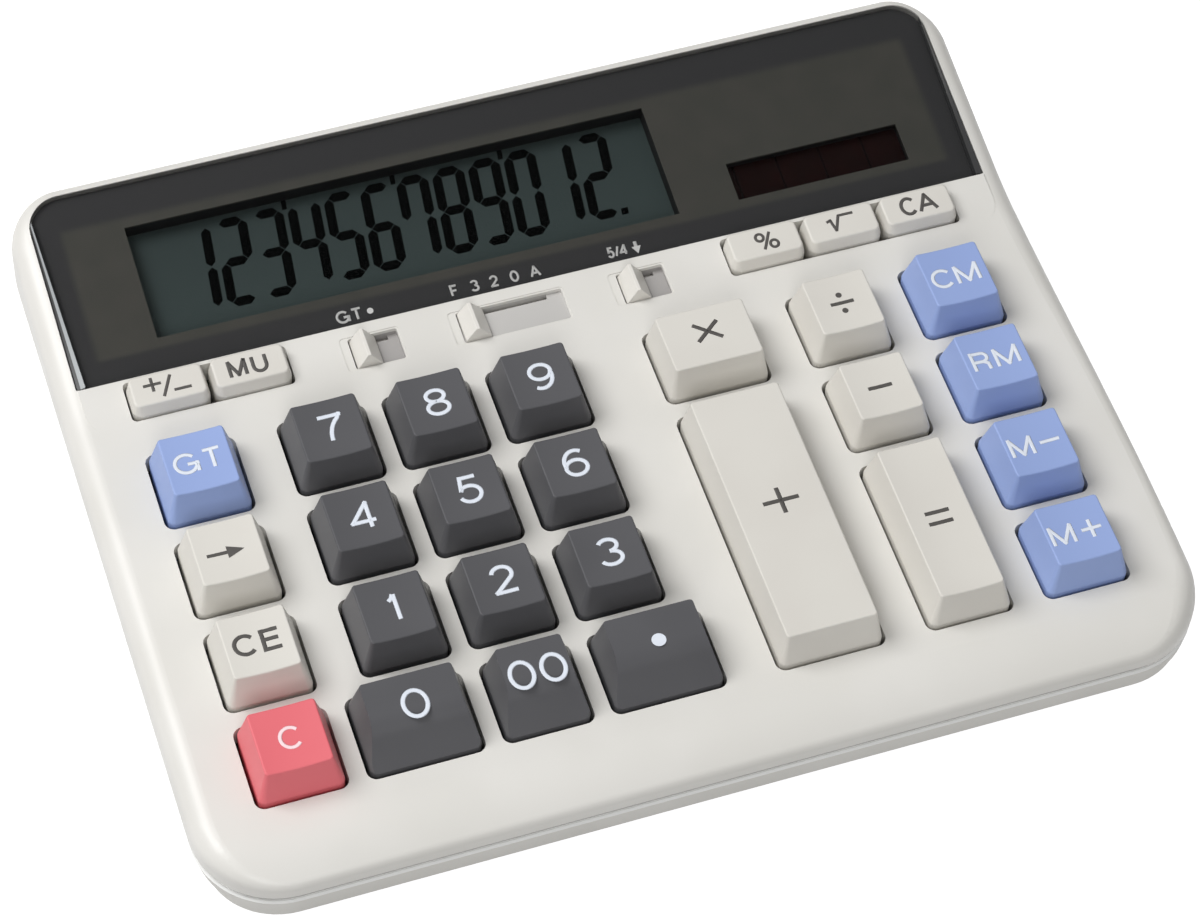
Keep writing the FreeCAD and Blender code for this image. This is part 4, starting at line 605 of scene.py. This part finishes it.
def forward_arrow():
    head = ink_dot(0, 0, 1, 3, -math.pi / 2)
    head.data.transform(Matrix.Translation((0.75, -0.3, 0)) @ Matrix.Diagonal((2.0, 1.4, 1, 1)))
    return [ink_lines([[(-3.8, -0.3), (0.3, -0.3)]], 0.7), head]


def change_sign():
    lines = character("+", -2.6, 0.8, 3.8, 3.4, 0.58) + [[(-1.1, -2.0), (0.9, 2.0)]]
    return [ink_lines(lines + [[(0.9, -1.2), (4.0, -1.2)]], 0.58)]


# Weight and height of the characters on the digit keys and on the memory keys
ON_DIGITS = (0.85, 5.9)
ON_MEMORY = (0.75, 4.35)
KEY_LEGENDS = {
    "key_0": (lettering(*ON_DIGITS, ("0", 0.1, 0.1, 4.9)), WHITE_INK),
    "key_00": (lettering(*ON_DIGITS, ("0", -2.7, 0.1, 4.8), ("0", 2.8, 0.1, 4.8)), WHITE_INK),
    "key_point": (lambda: [ink_dot(0, 0, 1.25)], WHITE_INK),
    "key_grand_total": (lettering(0.75, 4.5, ("G", -2.2, 0, 4.6), ("T", 2.5, 0, 3.6)), WHITE_INK),
    "key_backspace": (forward_arrow, DARK_INK),
    "key_clear_entry": (lettering(0.78, 4.4, ("C", -2.4, 0.1, 4.2), ("E", 2.2, 0.1, 3.6)), DARK_INK),
    "key_clear": (lettering(0.7, 4.5, ("C", 0, 0, 4.0)), PINK_INK),
    "key_memory_clear": (lettering(*ON_MEMORY, ("C", -2.8, -0.2, 4.2), ("M", 2.0, -0.2, 4.6)), WHITE_INK),
    "key_memory_recall": (lettering(*ON_MEMORY, ("R", -2.8, -0.2, 3.7), ("M", 2.0, -0.2, 4.6)), WHITE_INK),
    "key_memory_minus": (lettering(*ON_MEMORY, ("M", -2.8, -0.2, 4.6), ("-", 2.4, -0.2, 4.3)), WHITE_INK),
    "key_memory_plus": (lettering(*ON_MEMORY, ("M", -2.9, -0.2, 4.6), ("+", 2.4, -0.2, 4.3)), WHITE_INK),
    "key_multiply": (lettering(0.76, 4.5, ("x", 0, 0.8, 5.3)), DARK_INK),
    "key_divide": (divide_sign, DARK_INK),
    "key_minus": (lettering(0.78, 0.78, ("-", -0.2, 0, 5.2)), DARK_INK),
    "key_plus": (lettering(0.8, 6.1, ("+", 0.2, 1.4, 7.3)), DARK_INK),
    "key_equals": (lettering(0.8, 3.0, ("=", -0.2, 0, 5.2)), DARK_INK),
    "key_sign": (change_sign, DARK_INK),
    "key_markup": (lettering(0.68, 3.8, ("M", -2.2, 0, 3.5), ("U", 1.8, 0, 3.0)), DARK_INK),
    "key_percent": (lettering(0.56, 4.0, ("%", 0.4, 0, 4.4)), DARK_INK),
    "key_root": (lettering(0.56, 3.5, ("root", 0, 0.1, 5.9)), DARK_INK),
    "key_clear_all": (lettering(0.68, 4.0, ("C", -1.8, 0, 3.2), ("A", 1.8, 0, 3.9)), DARK_INK),
}
DIGIT_INK_WIDTHS = {"1": 3.5, "4": 4.9}
for digit in "123456789":
    placed_digit = (digit, 0.1, 0.1, DIGIT_INK_WIDTHS.get(digit, 4.6))
    KEY_LEGENDS["key_" + digit] = (lettering(*ON_DIGITS, placed_digit), WHITE_INK)
FLAT_KEYS = ("key_0", "key_00", "key_point", "key_multiply", "key_plus")


def print_keys():
    """Legend of every key, bent to the hollow top where the key has one."""
    for node, (drawing, ink) in KEY_LEGENDS.items():
        legend = joined(drawing())
        if node in SMALL_KEYS:
            x, y = SMALL_KEYS[node]
            place = DECK @ Matrix.Translation((x, y, SMALL_TOP)) @ Matrix.Rotation(SMALL_TILT, 4, "X")
        else:
            x, y = MAIN_KEYS[node]
            place = DECK @ Matrix.Translation((x, y, KEY_TOP))
            if node not in FLAT_KEYS:
                for vertex in legend.data.vertices:
                    vertex.co.z += vertex.co.x ** 2 / (2 * DISH_RADIUS) - KEY_DISH
        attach(finished(legend, "legend_of_" + node, ink, place), node)


# Display

DIGIT_PITCH = 6.83
DIGIT_BASE = 11.95
DIGIT_WIDTH = 4.3
DIGIT_HEIGHT = 15.9
FIRST_DIGIT_RIGHT = -56.35
DIGIT_LEAN = 0.109
BAR_WIDTH = 1.75
BAR_GAP = 0.2
BARS = {
    "top": (0, 1, 1, 1), "upper right": (1, 0.5, 1, 1), "lower right": (1, 0, 1, 0.5), "bottom": (0, 0, 1, 0),
    "lower left": (0, 0, 0, 0.5), "upper left": (0, 0.5, 0, 1), "middle": (0, 0.5, 1, 0.5),
}
UNLIT = {
    "0": ("middle",),
    "1": ("top", "bottom", "lower left", "upper left", "middle"),
    "2": ("upper left", "lower right"),
    "3": ("upper left", "lower left"),
    "4": ("top", "bottom", "lower left"),
    "5": ("upper right", "lower left"),
    "6": ("upper right",),
    "7": ("bottom", "lower left", "middle"),
    "8": (),
    "9": ("lower left",),
}
SHOWN = "123456789012"
MARKED_DIGITS = (2, 5, 8)


def display_bar(x0, y0, x1, y1):
    """Flat bar with pointed ends between two points of a digit."""
    deselect()
    bpy.ops.mesh.primitive_cylinder_add(vertices=6, radius=BAR_WIDTH, depth=INK_THICK)
    bar = bpy.context.object
    reach = math.hypot(x1 - x0, y1 - y0) / 2 - BAR_GAP / 2 - BAR_WIDTH
    for vertex in bar.data.vertices:
        vertex.co.x *= math.tan(math.radians(30))
        vertex.co.y += math.copysign(reach, vertex.co.y)
    turn = math.atan2(y1 - y0, x1 - x0) - math.pi / 2
    middle = Vector(((x0 + x1) / 2, (y0 + y1) / 2, 0))
    bar.data.transform(Matrix.Translation(middle) @ Matrix.Rotation(turn, 4, "Z"))
    return bar


def display_tick(x, y, length, width):
    deselect()
    bpy.ops.mesh.primitive_cylinder_add(vertices=4, radius=width / math.sqrt(2), depth=INK_THICK,
                                        rotation=(0, 0, math.pi / 4))
    tick = settled(bpy.context.object)
    tick.data.transform(Matrix.Translation((x, y, 0)) @ Matrix.Diagonal((1, length / width, 1, 1)))
    return tick


def display_digits():
    """The twelve lit digits with their thousands marks and point, leaning a little to the right."""
    marks = []
    for index, character in enumerate(SHOWN):
        left = index * DIGIT_PITCH - DIGIT_WIDTH
        for name, (x0, y0, x1, y1) in BARS.items():
            if name not in UNLIT[character]:
                marks.append(display_bar(left + x0 * DIGIT_WIDTH, y0 * DIGIT_HEIGHT,
                                         left + x1 * DIGIT_WIDTH, y1 * DIGIT_HEIGHT))
    for index in MARKED_DIGITS:
        marks.append(display_tick(index * DIGIT_PITCH + 1.25, DIGIT_HEIGHT + 0.9, 1.9, 0.9))
    marks.append(display_tick((len(SHOWN) - 1) * DIGIT_PITCH + 1.35, -0.2, 1.3, 1.3))
    lean = Matrix.Shear("XZ", 4, (DIGIT_LEAN, 0))
    place = PANEL @ Matrix.Translation((FIRST_DIGIT_RIGHT, DIGIT_BASE, GLASS_FACE + INK_THICK / 2)) @ lean
    finish = Finish("display_digits", (5, 6, 6), 0.5, Specular_IOR_Level=0.0).tinted((9, 11, 11), 0.5, 2.0)
    digits = finished(joined(marks), "display_digits", finish.material, place)
    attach(digits, "root")


def window_words():
    """Scale marks of the three switches, on the print behind the window."""
    marks = characters(0.5, 2.6, ("G", -36.3, 2.3, 2.6), ("T", -33.7, 2.3, 2.1))
    marks += characters(0.46, 2.4, ("F", -15.6, 2.3, 1.5), ("3", -11.75, 2.3, 1.7), ("2", -8.15, 2.3, 1.7),
                        ("0", -4.3, 2.3, 1.7), ("A", -0.45, 2.3, 2.1))
    marks += characters(0.44, 2.3, ("5", 13.95, 2.35, 1.35), ("/", 15.15, 2.35, 1.1), ("4", 16.35, 2.35, 1.6))
    marks += [ink_dot(-31.25, 2.3, 0.58), ink_dot(18.8, 1.95, 1.0, 3, math.pi)]
    marks.append(ink_lines([[(18.8, 2.4), (18.8, 3.45)]], 0.7))
    place = PANEL @ Matrix.Translation((0, 0, MASK_FACE + 0.02))
    words = finished(joined(marks), "switch_scale_print", PANEL_INK, place)
    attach(words, "root")


# Rubber mat

BOARD_SCREWS = ((-81.5, 31.35), (-81.5, 90.5), (81.5, 31.35), (81.5, 90.5), (-58.0, 50.35), (-58.0, 90.5),
                (8.2, 31.35), (8.2, 59.85), (8.2, 90.5), (58.9, 31.35), (58.9, 90.5))
SCREW_HOLE = 2.5
NOTCH_MARGIN = 3.4
NOTCH_START = 93.9


def mat_sheet():
    """Sheet with rounded corners, holes for the screw posts and notches for the switches."""
    deselect()
    middle = (MAT_START + MAT_END) / 2
    bpy.ops.mesh.primitive_cube_add(size=1, location=(0, middle, MAT_TOP - MAT_THICK / 2),
                                    scale=(2 * MAT_HALF_WIDTH, MAT_END - MAT_START, MAT_THICK))
    sheet = settled(bpy.context.object)
    bpy.ops.object.mode_set(mode="EDIT")
    bpy.ops.mesh.select_mode(type="EDGE")
    bpy.ops.mesh.select_all(action="DESELECT")
    bpy.ops.object.mode_set(mode="OBJECT")
    for edge in sheet.data.edges:
        ends = [sheet.data.vertices[index].co for index in edge.vertices]
        edge.select = abs(ends[0].z - ends[1].z) > MAT_THICK / 2
    bpy.ops.object.mode_set(mode="EDIT")
    bpy.ops.mesh.bevel(offset=MAT_CORNER, segments=5)
    bpy.ops.object.mode_set(mode="OBJECT")
    cutters = []
    for x, y in BOARD_SCREWS:
        bpy.ops.mesh.primitive_cylinder_add(vertices=24, radius=SCREW_HOLE, depth=4 * MAT_THICK,
                                            location=(x, y, MAT_TOP - MAT_THICK / 2))
        cutters.append(settled(bpy.context.object))
    for left, length in SWITCH_NOTCHES:
        place = (left + length / 2, (NOTCH_START + MAT_END) / 2 + 1, MAT_TOP - MAT_THICK / 2)
        size = (length + 2 * NOTCH_MARGIN, MAT_END - NOTCH_START + 2, 4 * MAT_THICK)
        bpy.ops.mesh.primitive_cube_add(size=1, location=place, scale=size)
        cutters.append(settled(bpy.context.object))
    cutter = joined(cutters)
    deselect()
    bpy.context.view_layer.objects.active = sheet
    cut = sheet.modifiers.new("holes", "BOOLEAN")
    cut.operation = "DIFFERENCE"
    cut.object = cutter
    soften = sheet.modifiers.new("soft edge", "BEVEL")
    soften.width = 0.12
    soften.segments = 2
    bpy.ops.object.modifier_apply(modifier="holes")
    bpy.ops.object.modifier_apply(modifier="soft edge")
    bpy.data.objects.remove(cutter)
    finished(sheet, "mat_sheet", FINISHES["mat_rubber"], DECK)
    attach(sheet, "root")
    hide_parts("key_mat")


DOME_PROFILE = ((DOME_BASE + 0.5, 0.02), (DOME_BASE, 0.12), (DOME_BASE - 0.35, 0.5), (DOME_TOP + 0.25, 1.9),
                (DOME_TOP, 2.3), (DOME_TOP - 0.15, DOME_HEIGHT - 0.12), (DOME_TOP - 0.45, DOME_HEIGHT))


def rubber_dome():
    """Spring dome of one key, drawn up ring by ring, with its contact pill inside."""
    deselect()
    radius, height = DOME_PROFILE[0]
    bpy.ops.mesh.primitive_circle_add(vertices=40, radius=radius, location=(0, 0, 0))
    dome = bpy.context.object
    bpy.ops.object.mode_set(mode="EDIT")
    bpy.ops.mesh.select_all(action="SELECT")
    for next_radius, next_height in DOME_PROFILE[1:]:
        bpy.ops.mesh.extrude_region_move(TRANSFORM_OT_translate={"value": (0, 0, next_height - height)})
        share = next_radius / radius
        bpy.ops.transform.resize(value=(share, share, 1), center_override=(0, 0, next_height))
        radius, height = next_radius, next_height
    bpy.ops.mesh.edge_face_add()
    bpy.ops.mesh.inset(thickness=0.5)
    bpy.ops.mesh.select_all(action="SELECT")
    bpy.ops.mesh.normals_make_consistent(inside=False)
    bpy.ops.object.mode_set(mode="OBJECT")
    wall = dome.modifiers.new("wall", "SOLIDIFY")
    wall.thickness = 0.5
    bpy.ops.object.modifier_apply(modifier="wall")
    bpy.ops.mesh.primitive_cylinder_add(vertices=32, radius=PILL_RADIUS, depth=0.5,
                                        location=(0, 0, DOME_HEIGHT - 0.8))
    pill = settled(bpy.context.object)
    bpy.ops.object.modifier_add(type="BEVEL")
    pill.modifiers[0].width = 0.08
    bpy.ops.object.modifier_apply(modifier=pill.modifiers[0].name)
    return joined([dome, pill])


def mat_domes():
    """One dome under every key."""
    pattern = rubber_dome()
    deselect()
    for name, (x, y) in {**MAIN_KEYS, **SMALL_KEYS}.items():
        dome = pattern.copy()
        dome.data = pattern.data.copy()
        bpy.context.scene.collection.objects.link(dome)
        finished(dome, "mat_dome_of_" + name, FINISHES["mat_rubber"],
                 DECK @ Matrix.Translation((x, y, MAT_TOP)))
        bpy.context.view_layer.objects.active = dome
        dome.select_set(True)
        bpy.ops.object.shade_smooth_by_angle(angle=math.radians(40))
        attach(dome, "root")
        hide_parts("key_mat")
        name + "_press"
        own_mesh(dome)
    bpy.data.objects.remove(pattern)


# Floor, light and camera

FLOOR_GLOW = 1.0
WORLD_LIGHT = 0.36


def studio_floor():
    """Pale floor that the camera sees as white, with the shadow that the calculator throws on it."""
    deselect()
    bpy.ops.mesh.primitive_plane_add(size=6, location=(0, 0, cad_bounds[0].z - 0.0002))
    floor = bpy.context.object
    floor.name = "studio_floor"
    finish = Finish("studio_floor", (150, 150, 150), 0.9)
    rays = finish.tree.nodes.new("ShaderNodeLightPath")
    seen = Value(finish, rays.outputs["Is Camera Ray"])
    seen = seen.maths("MAXIMUM", seen, Value(finish, rays.outputs["Is Glossy Ray"]))
    seen = seen.maths("MAXIMUM", seen, Value(finish, rays.outputs["Is Transmission Ray"]))
    glow = finish.tree.nodes.new("ShaderNodeEmission")
    glow.inputs["Strength"].default_value = FLOOR_GLOW
    both = finish.tree.nodes.new("ShaderNodeAddShader")
    choose = finish.tree.nodes.new("ShaderNodeMixShader")
    links = finish.tree.links
    links.new(finish.shader.outputs[0], both.inputs[0])
    links.new(glow.outputs[0], both.inputs[1])
    finish.feed(choose, {0: seen})
    links.new(finish.shader.outputs[0], choose.inputs[1])
    links.new(both.outputs[0], choose.inputs[2])
    links.new(choose.outputs[0], finish.tree.nodes["Material Output"].inputs["Surface"])
    floor.data.materials.append(finish.material)


def studio_world():
    """Even light from all round, in front of a white backdrop."""
    world = bpy.data.worlds.new("studio")
    bpy.context.scene.world = world
    world.use_nodes = True
    tree = world.node_tree
    rays = tree.nodes.new("ShaderNodeLightPath")
    light = tree.nodes["Background"]
    light.inputs["Color"].default_value = (1, 1, 1, 1)
    light.inputs["Strength"].default_value = WORLD_LIGHT
    backdrop = tree.nodes.new("ShaderNodeBackground")
    backdrop.inputs["Color"].default_value = (1, 1, 1, 1)
    choose = tree.nodes.new("ShaderNodeMixShader")
    tree.links.new(rays.outputs["Is Camera Ray"], choose.inputs[0])
    tree.links.new(light.outputs[0], choose.inputs[1])
    tree.links.new(backdrop.outputs[0], choose.inputs[2])
    tree.links.new(choose.outputs[0], tree.nodes["World Output"].inputs["Surface"])


LAMPS = (
    # name, place, size, power in watts
    ("key_lamp", (-0.6, 0.22, 0.97), 0.7, 9.3),
    ("front_lamp", (-0.3, -0.95, 0.6), 0.6, 3.7),
)


def studio_lamps():
    for name, place, size, power in LAMPS:
        data = bpy.data.lights.new(name, "AREA")
        data.shape = "DISK"
        data.size = size
        data.energy = power
        lamp = bpy.data.objects.new(name, data)
        bpy.context.scene.collection.objects.link(lamp)
        lamp.location = place
        lamp.rotation_mode = "QUATERNION"
        lamp.rotation_quaternion = Vector(place).to_track_quat("Z", "Y")


CAMERA_TARGET = (-2.117, 63.70, 0.0)
CAMERA_DISTANCE = 679.019
CAMERA_ELEVATION = math.radians(55.625)
CAMERA_AZIMUTH = math.radians(-21.932)
CAMERA_ROLL = math.radians(4.268)
CAMERA_LENS = 117.15


def photo_camera():
    """Camera where the photographer's stood, worked out in the frame of the key deck."""
    back = Vector((math.sin(CAMERA_AZIMUTH) * math.cos(CAMERA_ELEVATION),
                   -math.cos(CAMERA_AZIMUTH) * math.cos(CAMERA_ELEVATION), math.sin(CAMERA_ELEVATION)))
    turn = back.to_track_quat("Z", "Y") @ Quaternion((0, 0, 1), CAMERA_ROLL)
    data = bpy.data.cameras.new("photo_camera")
    data.lens = CAMERA_LENS
    data.clip_start = 0.01
    camera = bpy.data.objects.new("photo_camera", data)
    bpy.context.scene.collection.objects.link(camera)
    camera.rotation_mode = "QUATERNION"
    camera.rotation_quaternion = DECK.to_quaternion() @ turn
    camera.location = DECK @ (Vector(CAMERA_TARGET) + back * CAMERA_DISTANCE)
    bpy.context.scene.camera = camera


dress_nodes()
print_keys()
display_digits()
window_words()
mat_sheet()
mat_domes()
studio_floor()
studio_world()
studio_lamps()
photo_camera()
bpy.context.scene.view_settings.view_transform = "Standard"
